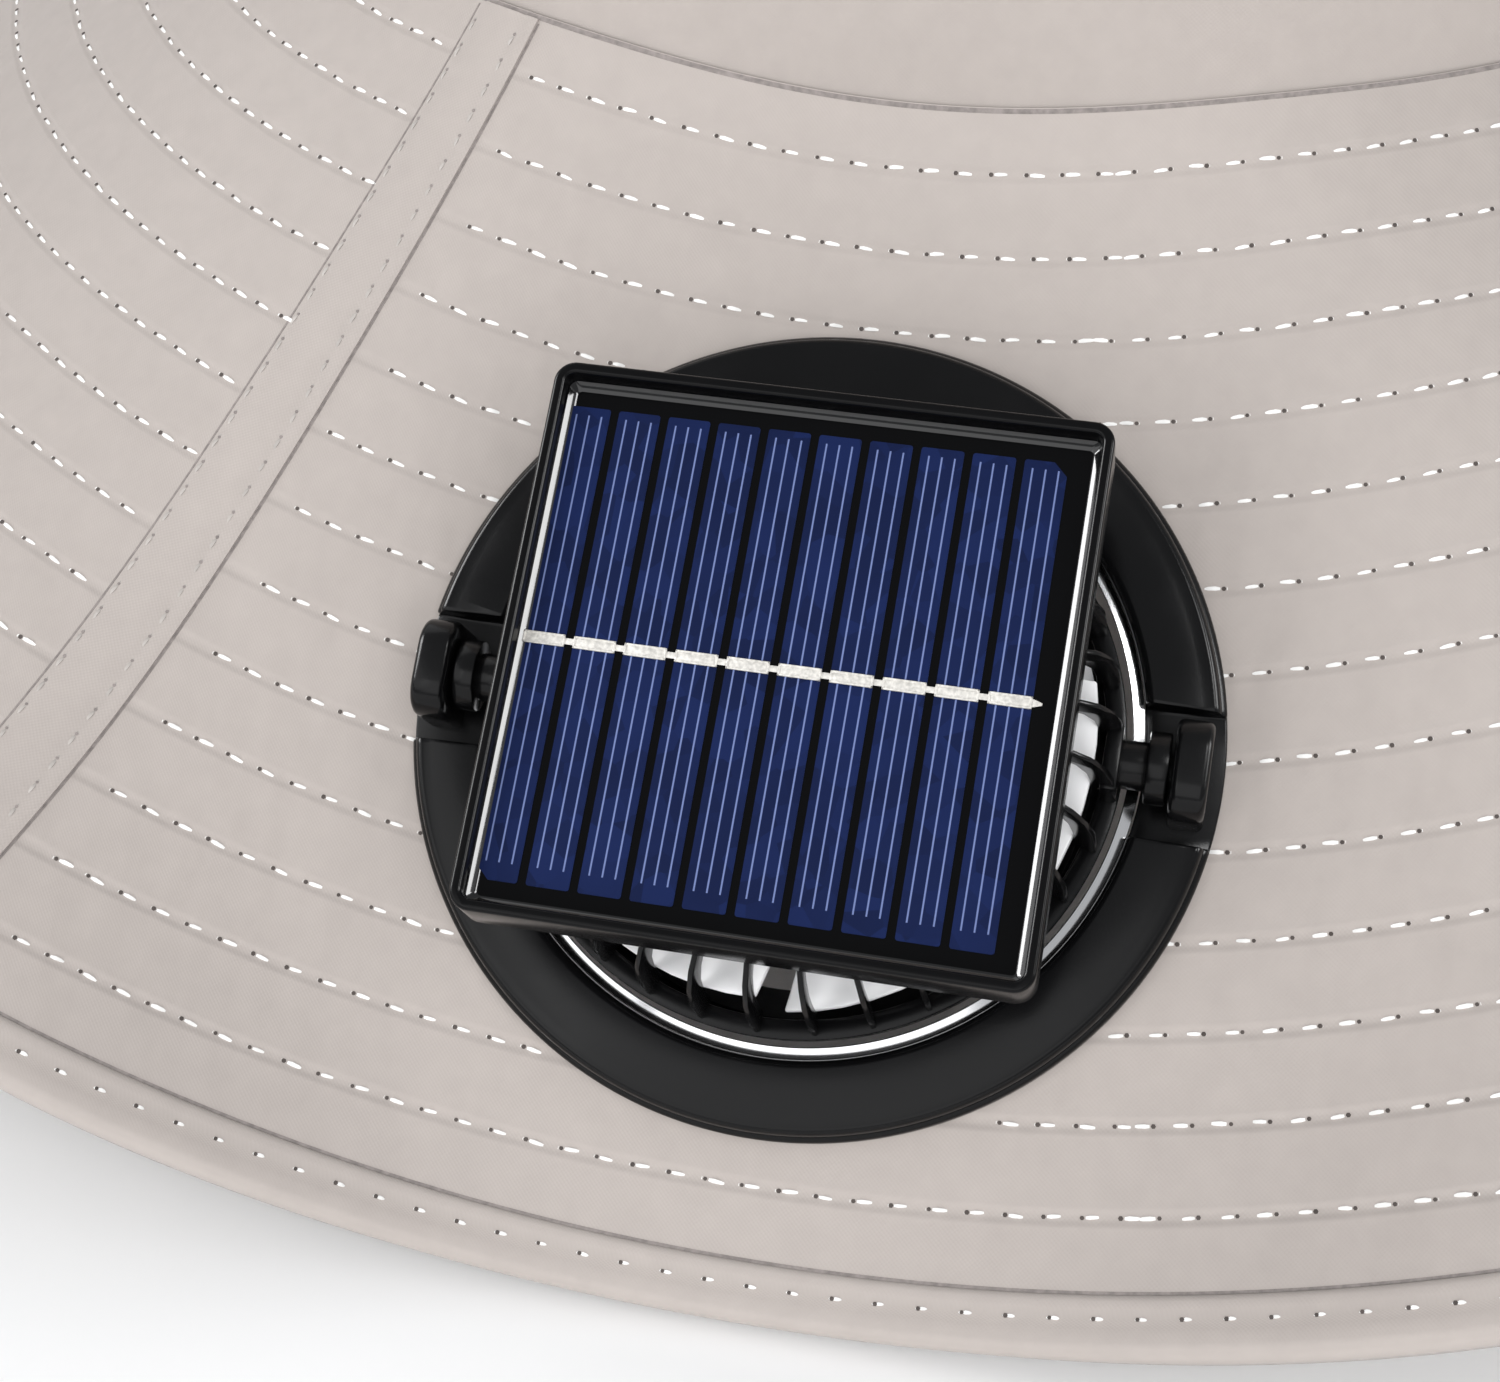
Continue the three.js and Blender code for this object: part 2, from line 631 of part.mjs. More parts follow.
function solarTray() {
  const bottom = PANEL_TOP - TRAY_HEIGHT;
  const wide = PANEL_WIDTH - 2 * TRAY_WALL;
  const long = PANEL_LENGTH - 2 * TRAY_WALL;
  const outside = roundedPlate(PANEL_WIDTH, PANEL_LENGTH, TRAY_CORNER, bottom, PANEL_TOP);
  const inside = roundedPlate(wide, long, TRAY_CORNER - TRAY_WALL, bottom + TRAY_FLOOR, PANEL_TOP + 1, 1);
  const foot = bar(CAGE_CAP_RADIUS, CAGE_TOP + GAP, bottom + TRAY_FLOOR / 2);
  const body = cut(joined([outside, foot]), [inside]);
  return piece('solar_tray', geometryOf(body), BLACK_GLOSS);
}

const boardTop = PANEL_TOP - TRAY_HEIGHT + TRAY_FLOOR + GAP + BOARD_WALL;
const cellTop = boardTop + GAP + CELL_WALL;
const cellsWide = PANEL_WIDTH - 2 * CELL_SIDE_MARGIN;
const cellsLong = PANEL_LENGTH - 2 * CELL_END_MARGIN;

function solarBoard() {
  const inset = 2 * (TRAY_WALL + GAP);
  const x = (PANEL_WIDTH - inset) / 2;
  const y = (PANEL_LENGTH - inset) / 2;
  return piece('solar_board', block(-x, x, -y, y, boardTop - BOARD_WALL, boardTop), BLACK_GLOSS);
}

/** Frame of clear resin that rises from the cells to the tray's wall. */
function solarResin() {
  const rim = PANEL_TOP - RESIN_EDGE_DROP;
  const corners = [[-1, -1], [1, -1], [1, 1], [-1, 1]];
  const wallInset = TRAY_WALL + GAP;
  const sections = corners.map(([sx, sy]) => {
    const outX = sx * (PANEL_WIDTH / 2 - wallInset);
    const outY = sy * (PANEL_LENGTH / 2 - wallInset);
    const inX = sx * (cellsWide / 2 + GAP);
    const inY = sy * (cellsLong / 2 + GAP);
    return [
      new THREE.Vector3(inX, inY, boardTop + GAP),
      new THREE.Vector3(outX, outY, boardTop + GAP),
      new THREE.Vector3(outX, outY, rim),
      new THREE.Vector3(inX, inY, cellTop),
    ];
  });
  return piece('solar_resin', loft(sections, true), RESIN);
}

function solarCells() {
  const pitch = (cellsWide + CELL_GAP) / CELL_COUNT;
  const cells = [];
  for (let i = 0; i < CELL_COUNT; i += 1) {
    const x = (i - (CELL_COUNT - 1) / 2) * pitch;
    const shape = roundedPlate(pitch - CELL_GAP, cellsLong, CELL_CORNER, boardTop + GAP, cellTop, 1);
    const number = String(i + 1).padStart(2, '0');
    cells.push(piece(`solar_cell_${number}`, shape.translate(x, 0, 0), CELL_BLUE));
  }
  return cells;
}

/** Soldered ribbon across the middle of the cells: a wide tab on each cell, joined by narrow links. */
function cellRibbon() {
  const pitch = (cellsWide + CELL_GAP) / CELL_COUNT;
  const bottom = cellTop + GAP;
  const top = bottom + RIBBON_WALL;
  const reach = cellsWide / 2 - 0.3;
  const link = RIBBON_LINK_WIDTH / 2;
  const half = RIBBON_WIDTH / 2;
  const parts = [block(-reach, reach, -link, link, bottom, top)];
  for (let i = 0; i < CELL_COUNT; i += 1) {
    const x = (i - (CELL_COUNT - 1) / 2) * pitch;
    const reachTab = (pitch - CELL_GAP) / 2 - 0.3;
    parts.push(block(x - reachTab, x + reachTab, -half, half, bottom, top));
  }
  return piece('cell_ribbon', geometryOf(joined(parts)), SOLDER);
}

/** Place of the crown's foot that centres the hem on the origin and rests it at height zero. */
function restPlace(hem) {
  hem.geometry.computeBoundingBox();
  const { min, max } = hem.geometry.boundingBox;
  return new THREE.Vector3(-(min.x + max.x) / 2, -(min.y + max.y) / 2, -min.z);
}

const head = new THREE.Group();
head.position.z = PIVOT_HEIGHT;
head.rotation.x = -HEAD_TILT;
head.add(fanGrille(), fanDrum(), fanMotor(), fanRotor());
head.add(solarTray(), solarBoard(), solarResin(), ...solarCells(), cellRibbon());

const fan = new THREE.Group();
fan.position.copy(fanCentre);
fan.rotation.x = fanSlope;
fan.add(fanBezel(), trimRing(), bezelBackRing(), head);

const hem = brimHem();
const hat = new THREE.Group();
hat.position.copy(restPlace(hem));
hat.add(crownTop(), crownSide(), brim(), hem);
hat.add(brimStrip('brim_seam_left', STRIP_ANGLE), brimStrip('brim_seam_right', STRIP_ANGLE + Math.PI));
hat.add(fan);

const part = new THREE.Group();
part.add(hat);

export default part;
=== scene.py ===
"""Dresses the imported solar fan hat: sewn cloth, a black moulded fan and a potted solar panel."""

from __future__ import annotations

import json
import logging
import math
from collections.abc import Sequence
from dataclasses import dataclass, field
from enum import Enum

import bmesh
import bpy
import numpy as np
from mathutils import Matrix, Vector


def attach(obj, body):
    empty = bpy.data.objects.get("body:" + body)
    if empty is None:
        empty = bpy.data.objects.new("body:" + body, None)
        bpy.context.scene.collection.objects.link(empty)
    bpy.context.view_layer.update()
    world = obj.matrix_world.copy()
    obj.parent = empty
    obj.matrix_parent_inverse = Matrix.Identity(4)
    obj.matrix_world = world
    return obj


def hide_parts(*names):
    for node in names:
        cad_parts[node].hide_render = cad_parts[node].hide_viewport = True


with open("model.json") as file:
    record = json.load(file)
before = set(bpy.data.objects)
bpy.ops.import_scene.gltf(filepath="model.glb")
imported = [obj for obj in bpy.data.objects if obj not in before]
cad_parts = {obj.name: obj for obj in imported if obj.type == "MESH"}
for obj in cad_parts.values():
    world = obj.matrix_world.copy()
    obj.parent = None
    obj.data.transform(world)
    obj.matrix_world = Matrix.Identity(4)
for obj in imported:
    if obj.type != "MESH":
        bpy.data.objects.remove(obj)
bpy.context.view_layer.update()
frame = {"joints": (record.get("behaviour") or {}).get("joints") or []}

LOG = logging.getLogger("solar_fan_hat")

Pair = tuple[float, float]

MM = 0.001
DEGREE = math.pi / 180
TURN = 2 * math.pi
NOISE_LOW = 0.3  # a noise hardly ever leaves the range between these two
NOISE_HIGH = 0.7


class Body(Enum):
    """The rigid bodies that the pieces ride on."""

    HAT = "hat"
    HEAD = "fan_head"
    ROTOR = "rotor"


def linear(colour: str) -> tuple[float, float, float, float]:
    """Turns an sRGB hex colour into Blender's linear values.

    Args:
        colour: The colour, such as "#C5BFB9".

    Returns:
        Red, green, blue and an alpha of one.
    """
    parts = [int(colour[i:i + 2], 16) / 255 for i in (1, 3, 5)]
    low = [p / 12.92 if p <= 0.04045 else ((p + 0.055) / 1.055) ** 2.4 for p in parts]
    return (low[0], low[1], low[2], 1.0)


def add(
    tree: bpy.types.NodeTree, kind: str, sockets: dict | None = None, **settings: object,
) -> bpy.types.Node:
    """Adds a node with its settings and its links.

    Args:
        tree: The tree that gets the node.
        kind: The node's type name.
        sockets: Input name or number to a value, or to the output socket that feeds it.
        **settings: Properties of the node itself.

    Returns:
        The new node.
    """
    node = tree.nodes.new(kind)
    for name, value in settings.items():
        setattr(node, name, value)
    for name, value in (sockets or {}).items():
        if isinstance(value, bpy.types.NodeSocket):
            tree.links.new(value, node.inputs[name])
        else:
            node.inputs[name].default_value = value
    return node


def noise(tree: bpy.types.NodeTree, size: float, detail: float = 2.0) -> bpy.types.NodeSocket:
    """Soft patches over a piece.

    Args:
        tree: The material's tree.
        size: Millimetres across a patch.
        detail: How much finer the finest patches are.

    Returns:
        The socket with a value round one half.
    """
    place = add(tree, "ShaderNodeTexCoord").outputs["Object"]
    cloud = add(tree, "ShaderNodeTexNoise", {"Vector": place, "Scale": 1 / (size * MM), "Detail": detail})
    return cloud.outputs["Fac"]


def spread(
    tree: bpy.types.NodeTree, value: bpy.types.NodeSocket, low: float, high: float,
) -> bpy.types.NodeSocket:
    """Spreads the usual range of a noise over two new limits."""
    return add(tree, "ShaderNodeMapRange", {
        "Value": value, "From Min": NOISE_LOW, "From Max": NOISE_HIGH, "To Min": low, "To Max": high,
    }).outputs[0]


def tint(tree: bpy.types.NodeTree, colour: str, share: bpy.types.NodeSocket) -> bpy.types.NodeSocket:
    """A colour made lighter or darker by a share."""
    base = linear(colour)
    return add(tree, "ShaderNodeVectorMath", {0: base[:3], "Scale": share}, operation="SCALE").outputs[0]


def raised(tree: bpy.types.NodeTree, shader: bpy.types.Node, height: bpy.types.NodeSocket) -> None:
    """Gives a surface shader a relief whose height is in metres."""
    bump = add(tree, "ShaderNodeBump", {"Height": height, "Strength": 1.0, "Distance": 1.0})
    tree.links.new(bump.outputs[0], shader.inputs["Normal"])


@dataclass(frozen=True)
class Finish:
    """What every finish has: its name and how its surface takes light."""

    name: str
    colour: str
    roughness: float
    metallic: float = 0.0
    specular: float = 0.5

    def build(self) -> bpy.types.Material:
        """Makes the material once and hands out the same one after that.

        Returns:
            The Blender material.
        """
        made = bpy.data.materials.get(self.name)
        if made is None:
            made = bpy.data.materials.new(self.name)
            made.use_nodes = True
            tree = made.node_tree
            tree.nodes.clear()
            shader = add(tree, "ShaderNodeBsdfPrincipled", {
                "Base Color": linear(self.colour),
                "Roughness": self.roughness,
                "Metallic": self.metallic,
                "Specular IOR Level": self.specular,
            })
            add(tree, "ShaderNodeOutputMaterial", {"Surface": shader.outputs[0]})
            self.detail(tree, shader)
        return made

    def detail(self, tree: bpy.types.NodeTree, shader: bpy.types.Node) -> None:
        """Adds the pattern of the finish. The plain one has none."""


@dataclass(frozen=True)
class Microfibre(Finish):
    """Brushed polyester plain weave: matt, with a soft bloom at grazing angles and no visible threads
    from an arm's length. Sewing draws it down at each row of stitches."""

    thread: float = 0.45  # mm between threads; real ones lie about 0.2 apart and would not show
    thread_depth: float = 0.005  # mm
    broad_patch: float = 55.0  # mm across
    small_patch: float = 3.0  # mm across
    unevenness: float = 0.045  # share lighter or darker
    bloom: float = 0.1  # light that the raised fibres send back at grazing angles
    bloom_roughness: float = 0.45
    row_pitch: float = 0.0  # mm between rows of stitches, or none
    groove: float = 1.1  # mm from a row's middle to where the cloth lies flat again
    groove_depth: float = 0.16  # mm
    pucker: float = 0.09  # mm up or down between the rows
    pucker_length: float = 5.5  # mm along the rows
    pucker_reach: float = 16.0  # mm across the rows

    def detail(self, tree: bpy.types.NodeTree, shader: bpy.types.Node) -> None:
        """Weave, soft unevenness and the pull of the stitched rows.

        Args:
            tree: The material's tree.
            shader: Its surface shader.
        """
        broad = noise(tree, self.broad_patch)
        small = noise(tree, self.small_patch, detail=3.0)
        both = add(tree, "ShaderNodeMath", {0: broad, 1: small}, operation="ADD")
        half = add(tree, "ShaderNodeMath", {0: both.outputs[0], 1: 0.5}, operation="MULTIPLY")
        tone = spread(tree, half.outputs[0], 1 - self.unevenness, 1 + self.unevenness)
        tree.links.new(tint(tree, self.colour, tone), shader.inputs["Base Color"])
        shader.inputs["Sheen Weight"].default_value = self.bloom
        shader.inputs["Sheen Roughness"].default_value = self.bloom_roughness
        cloth = add(tree, "ShaderNodeUVMap", uv_map="cloth").outputs["UV"]
        split = add(tree, "ShaderNodeSeparateXYZ", {0: cloth})
        height = self.weave(tree, split)
        if self.row_pitch:
            height = self.rows(tree, split, cloth, height)
        raised(tree, shader, height)

    def weave(self, tree: bpy.types.NodeTree, split: bpy.types.Node) -> bpy.types.NodeSocket:
        """Height in metres of the crossing threads.

        Args:
            tree: The material's tree.
            split: The node that gives the place on the cloth, in millimetres.

        Returns:
            The socket with the height.
        """
        waves = []
        for axis in ("X", "Y"):
            turns = add(tree, "ShaderNodeMath", {
                0: split.outputs[axis], 1: TURN / self.thread,
            }, operation="MULTIPLY")
            waves.append(add(tree, "ShaderNodeMath", {0: turns.outputs[0]}, operation="SINE").outputs[0])
        cross = add(tree, "ShaderNodeMath", {0: waves[0], 1: waves[1]}, operation="MULTIPLY").outputs[0]
        depth = self.thread_depth * MM
        return add(tree, "ShaderNodeMath", {0: cross, 1: depth}, operation="MULTIPLY").outputs[0]

    def rows(
        self, tree: bpy.types.NodeTree, split: bpy.types.Node, cloth: bpy.types.NodeSocket,
        height: bpy.types.NodeSocket,
    ) -> bpy.types.NodeSocket:
        """Adds the dip along each row, uneven from stitch to stitch, and small puckers between the rows.

        Args:
            tree: The material's tree.
            split: The node that gives the place on the cloth, in millimetres.
            cloth: The same place as a vector.
            height: The height so far.

        Returns:
            The socket with the new height.
        """
        count = add(tree, "ShaderNodeMath", {0: split.outputs["Y"], 1: self.row_pitch}, operation="DIVIDE")
        near = add(tree, "ShaderNodeMath", {0: count.outputs[0], 1: 0.5}, operation="PINGPONG")
        away = add(tree, "ShaderNodeMath", {0: near.outputs[0], 1: self.row_pitch}, operation="MULTIPLY")
        flat = add(tree, "ShaderNodeMapRange", {
            "Value": away.outputs[0], "From Min": 0.0, "From Max": self.groove,
            "To Min": -self.groove_depth * MM, "To Max": 0.0,
        }, interpolation_type="SMOOTHERSTEP")
        stretch = add(tree, "ShaderNodeMapping", {
            "Vector": cloth, "Scale": (1 / self.pucker_length, 1 / self.pucker_reach, 1.0),
        })
        swell = add(tree, "ShaderNodeTexNoise", {"Vector": stretch.outputs[0], "Scale": 1.0, "Detail": 1.5})
        uneven = spread(tree, swell.outputs["Fac"], -self.pucker * MM, self.pucker * MM)
        total = add(tree, "ShaderNodeMath", {0: flat.outputs[0], 1: uneven}, operation="ADD")
        return add(tree, "ShaderNodeMath", {0: total.outputs[0], 1: height}, operation="ADD").outputs[0]


@dataclass(frozen=True)
class Thread(Finish):
    """Spun polyester thread: two plies that catch the light along their twist."""

    patch: float = 2.4  # mm from a dull place to a bright one
    dullest: float = 0.8  # share of the full colour
    bloom: float = 0.2  # light from the loose fibres at grazing angles

    def detail(self, tree: bpy.types.NodeTree, shader: bpy.types.Node) -> None:
        """Uneven brightness from stitch to stitch.

        Args:
            tree: The material's tree.
            shader: Its surface shader.
        """
        tone = spread(tree, noise(tree, self.patch), self.dullest, 1.0)
        tree.links.new(tint(tree, self.colour, tone), shader.inputs["Base Color"])
        shader.inputs["Sheen Weight"].default_value = self.bloom


@dataclass(frozen=True)
class ShadowedCloth(Finish):
    """The hat's cloth painted with the shade that fills a needle hole or a fold: darker, quite matt, uneven.
    """

    tuft: float = 0.7  # mm across
    unevenness: float = 0.2  # share lighter or darker

    def detail(self, tree: bpy.types.NodeTree, shader: bpy.types.Node) -> None:
        """Tone that changes from fibre to fibre."""
        tone = spread(tree, noise(tree, self.tuft), 1 - self.unevenness, 1 + self.unevenness)
        tree.links.new(tint(tree, self.colour, tone), shader.inputs["Base Color"])


@dataclass(frozen=True)
class MouldedPlastic(Finish):
    """Injection-moulded ABS: a fine spark-eroded grain that breaks up its highlights."""

    grain: float = 0.25  # mm
    grain_depth: float = 0.004  # mm
    smudge: float = 9.0  # mm across
    smudge_change: float = 0.05  # roughness up or down

    def detail(self, tree: bpy.types.NodeTree, shader: bpy.types.Node) -> None:
        """Grain and faint smudges.

        Args:
            tree: The material's tree.
            shader: Its surface shader.
        """
        smudges = noise(tree, self.smudge, detail=3.0)
        low, high = self.roughness - self.smudge_change, self.roughness + self.smudge_change
        tree.links.new(spread(tree, smudges, low, high), shader.inputs["Roughness"])
        grain = noise(tree, self.grain)
        height = add(tree, "ShaderNodeMath", {0: grain, 1: self.grain_depth * MM}, operation="MULTIPLY")
        raised(tree, shader, height.outputs[0])


@dataclass(frozen=True)
class PottedResin(Finish):
    """Black epoxy poured round the cells: glassy, with slow waves where it shrank as it set."""

    wave: float = 7.0  # mm from wave to wave
    wave_depth: float = 0.01  # mm
    dull_patch: float = 4.0  # mm across
    dulling: float = 0.06  # roughness that a patch adds

    def detail(self, tree: bpy.types.NodeTree, shader: bpy.types.Node) -> None:
        """Slow waves and a few duller patches.

        Args:
            tree: The material's tree.
            shader: Its surface shader.
        """
        dull = spread(tree, noise(tree, self.dull_patch), self.roughness, self.roughness + self.dulling)
        tree.links.new(dull, shader.inputs["Roughness"])
        waves = noise(tree, self.wave, detail=1.0)
        height = add(tree, "ShaderNodeMath", {0: waves, 1: self.wave_depth * MM}, operation="MULTIPLY")
        raised(tree, shader, height.outputs[0])


@dataclass(frozen=True)
class PlatedMetal(Finish):
    """Bright nickel plate or tinned copper: a metal whose faint polish marks soften what it mirrors."""

    mark: float = 1.5  # mm across a mark
    stain: float = 0.05  # how much darker a mark is
    gloss_change: float = 0.06  # roughness up or down

    def detail(self, tree: bpy.types.NodeTree, shader: bpy.types.Node) -> None:
        """Small changes of gloss and tone.

        Args:
            tree: The material's tree.
            shader: Its surface shader.
        """
        marks = noise(tree, self.mark, detail=3.0)
        low, high = self.roughness - self.gloss_change, self.roughness + self.gloss_change
        tree.links.new(spread(tree, marks, low, high), shader.inputs["Roughness"])
        tone = tint(tree, self.colour, spread(tree, marks, 1 - self.stain, 1.0))
        tree.links.new(tone, shader.inputs["Base Color"])


@dataclass(frozen=True)
class Silicon(Finish):
    """Polycrystalline cell under clear resin: blue, faint crystal facets and thin printed silver lines."""

    line: str = "#6B79A6"
    line_width: float = 0.1  # mm
    line_gap: float = 1.2  # mm between the printed lines
    line_low: float = -21.2  # mm from the cell's middle to the lines' lower end
    line_high: float = 22.1  # mm to their upper end
    outer_line: float = 1.0  # lines on each side of the middle one
    facet: float = 2.6  # mm across a crystal
    cloud: float = 9.0  # mm across a broader change of tone
    darkest: float = 0.78  # share of the colour in the darkest crystal
    lightest: float = 1.2  # and in the lightest

    def detail(self, tree: bpy.types.NodeTree, shader: bpy.types.Node) -> None:
        """Crystal facets and the three lines of each cell.

        Args:
            tree: The material's tree.
            shader: Its surface shader.
        """
        place = add(tree, "ShaderNodeTexCoord").outputs["Object"]
        shard = add(tree, "ShaderNodeTexVoronoi", {"Vector": place, "Scale": 1 / (self.facet * MM)})
        chance = add(tree, "ShaderNodeSeparateColor", {0: shard.outputs["Color"]})
        cloud = noise(tree, self.cloud)
        both = add(tree, "ShaderNodeMath", {0: chance.outputs[0], 1: cloud}, operation="ADD")
        half = add(tree, "ShaderNodeMath", {0: both.outputs[0], 1: 0.5}, operation="MULTIPLY")
        blue = tint(tree, self.colour, spread(tree, half.outputs[0], self.darkest, self.lightest))
        uv = add(tree, "ShaderNodeUVMap", uv_map="cell").outputs["UV"]
        split = add(tree, "ShaderNodeSeparateXYZ", {0: uv})
        side = add(tree, "ShaderNodeMath", {0: split.outputs["X"], 1: self.line_gap}, operation="DIVIDE")
        nearest = add(tree, "ShaderNodeMath", {0: side.outputs[0]}, operation="ROUND")
        least, most = -self.outer_line, self.outer_line
        limit = add(tree, "ShaderNodeMath", {0: nearest.outputs[0], 1: least}, operation="MAXIMUM")
        kept = add(tree, "ShaderNodeMath", {0: limit.outputs[0], 1: most}, operation="MINIMUM")
        off = add(tree, "ShaderNodeMath", {0: side.outputs[0], 1: kept.outputs[0]}, operation="SUBTRACT")
        away = add(tree, "ShaderNodeMath", {0: off.outputs[0]}, operation="ABSOLUTE")
        edge = self.line_width / 2 / self.line_gap
        line = add(tree, "ShaderNodeMapRange", {
            "Value": away.outputs[0], "From Min": edge, "From Max": edge * 2, "To Min": 1.0, "To Max": 0.0,
        })
        middle = (self.line_low + self.line_high) / 2
        reach = (self.line_high - self.line_low) / 2
        within = add(tree, "ShaderNodeMath", {
            0: split.outputs["Y"], 1: middle, 2: reach,
        }, operation="COMPARE")
        printed = add(tree, "ShaderNodeMath", {
            0: line.outputs[0], 1: within.outputs[0],
        }, operation="MULTIPLY")
        # Sockets 6 and 7 are the node's two colours.
        mixed = add(tree, "ShaderNodeMix", {
            0: printed.outputs[0], 6: blue, 7: linear(self.line),
        }, data_type="RGBA")
        tree.links.new(mixed.outputs[2], shader.inputs["Base Color"])


CLOTH_COLOUR = "#ACA49F"
ROW_PITCH = 8.63  # mm between the brim's rows of stitches
CLOTH = Microfibre("brushed_microfibre", CLOTH_COLOUR, 0.92, specular=0.25)
QUILTED = Microfibre("stitched_microfibre", CLOTH_COLOUR, 0.92, specular=0.25, row_pitch=ROW_PITCH)
WHITE_THREAD = Thread("white_thread", "#F4F3F1", 0.55)
GREY_THREAD = Thread("tonal_thread", "#AFA9A4", 0.7)
# Painted shade: cloth darkened for the shadow inside a needle hole.
NEEDLE_HOLE_SHADE = ShadowedCloth("needle_hole", "#4C4542", 0.95)
# Painted shadow: cloth darkened for the crevice of a fold.
FOLD_SHADOW = ShadowedCloth("fold_line", "#857E7B", 0.95)
SATIN_BLACK = MouldedPlastic("black_satin_abs", "#0A0A0B", 0.22, specular=0.2)
GLOSS_BLACK = MouldedPlastic("black_gloss_abs", "#060607", 0.2, specular=0.15, grain_depth=0.001)
WHITE_PLASTIC = MouldedPlastic("white_abs", "#FAFAFB", 0.35, grain_depth=0.002)
BRIGHT_TRIM = PlatedMetal("polished_trim", "#F6F6F8", 0.22, metallic=1.0)
MOTOR_STEEL = PlatedMetal("motor_can", "#A9AAAD", 0.35, metallic=1.0)
SOLDER = PlatedMetal("tinned_ribbon", "#D8D5CF", 0.5, metallic=0.2, mark=0.35, stain=0.35)
POTTING = PottedResin("black_potting_resin", "#040405", 0.1, specular=0.12)
POTTING_EDGE = PottedResin("clear_potting_edge", "#040405", 0.05, specular=0.6, wave_depth=0.003)
CELL = Silicon("blue_silicon", "#101C42", 0.3, specular=0.12)
FLOOR_PAINT = Finish("pale_floor", "#F4F4F4", 0.7)


def grid_faces(rows: int, columns: int, ring_rows: bool, ring_columns: bool) -> np.ndarray:
    """Quads of a grid of points that is stored row by row.

    Args:
        rows: How many rows of points.
        columns: How many points in a row.
        ring_rows: Whether the last row joins the first.
        ring_columns: Whether each row's end joins its start.

    Returns:
        The corner numbers of each quad.
    """
    row = np.arange(rows if ring_rows else rows - 1)
    column = np.arange(columns if ring_columns else columns - 1)
    r, c = np.meshgrid(row, column, indexing="ij")
    r_next = (r + 1) % rows
    c_next = (c + 1) % columns
    here, there = r * columns, r_next * columns
    quads = np.stack([here + c, here + c_next, there + c_next, there + c], -1)
    return quads.reshape(-1, 4)


@dataclass
class Shape:
    """Points in millimetres and the faces between them, before they become a piece."""

    points: np.ndarray
    faces: list
    uv: np.ndarray | None = None

    @staticmethod
    def loft(sections: np.ndarray, ring: bool, uv: np.ndarray | None = None) -> Shape:
        """Skins closed outlines of equally many points.

        Args:
            sections: Sections, points and coordinates.
            ring: Whether the last section joins the first. Otherwise the ends are capped.
            uv: Place of each point on the cloth.

        Returns:
            The closed shape.
        """
        count, size = sections.shape[:2]
        faces = grid_faces(count, size, ring, True).tolist()
        if not ring:
            faces.append(list(range(size)))
            faces.append([(count - 1) * size + k for k in reversed(range(size))])
        flat_uv = None if uv is None else uv.reshape(-1, 2)
        return Shape(sections.reshape(-1, 3), faces, flat_uv)

    @staticmethod
    def lathe(profile: Sequence[Pair], sides: int) -> Shape:
        """Turns a closed profile of radius and height round Z.

        Args:
            profile: Radius and height of each point, in order.
            sides: How many facets round.

        Returns:
            The closed ring.
        """
        angle = np.arange(sides) * TURN / sides
        outline = np.array(profile, float)
        points = np.stack([
            np.outer(np.cos(angle), outline[:, 0]),
            np.outer(np.sin(angle), outline[:, 0]),
            np.tile(outline[:, 1], (sides, 1)),
        ], -1)
        return Shape.loft(points, True)

    def moved(self, place: Matrix) -> Shape:
        """Moves the shape by a matrix whose offset is in millimetres."""
        turn = np.array(place)
        return Shape(self.points @ turn[:3, :3].T + turn[:3, 3], self.faces, self.uv)

    def joined(self, *others: Shape) -> Shape:
        """Puts other shapes beside this one, in one mesh.

        Args:
            *others: The other shapes.

        Returns:
            The new shape, without places on the cloth.
        """
        points, faces = [self.points], list(self.faces)
        start = len(self.points)
        for other in others:
            points.append(other.points)
            faces += [[start + k for k in face] for face in other.faces]
            start += len(other.points)
        return Shape(np.concatenate(points), faces)


@dataclass
class FanPlace:
    """Where the fan and its head lie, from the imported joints."""

    pivot: Vector = field(init=False)
    spin: Vector = field(init=False)
    tilt: float = 4.9 * DEGREE
    pivot_height: float = 6.0

    def __post_init__(self) -> None:
        """Reads the two joints."""
        joints = {joint["name"]: joint for joint in frame["joints"]}
        self.pivot = Vector(joints["head_tilt"]["pos_m"]) / MM
        self.spin = Vector(joints["rotor_spin"]["axis"])

    def leaning(self, more: float) -> Matrix:
        """The frame on the pivot: Z points out of the cage, leant back by some more."""
        lean = math.atan2(-self.spin.y, self.spin.z) + more
        return Matrix.Translation(self.pivot) @ Matrix.Rotation(lean, 4, "X")

    @property
    def head(self) -> Matrix:
        """The head's frame: X along the ears, Z out of the cage."""
        return self.leaning(0.0)

    @property
    def ring(self) -> Matrix:
        """The bezel's frame, on the cloth's upper face."""
        return self.leaning(self.tilt) @ Matrix.Translation((0, 0, -self.pivot_height))


PLACE = FanPlace()


def finish_piece(obj: bpy.types.Object, body: Body, replaced: Sequence[str] = ()) -> None:
    """Makes an object ride on its body and stand for its solids.

    Args:
        obj: The finished object.
        body: The body that carries it.
        replaced: Solids that it stands for.
    """
    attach(obj, body.value)
    if replaced:
        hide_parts(*replaced)
    LOG.info("%s: %d faces", obj.name, len(obj.data.polygons))


LONGEST_FACE = 100.0  # mm on the cloth
CREASE = 40.0  # degrees; sharper edges stay crisp


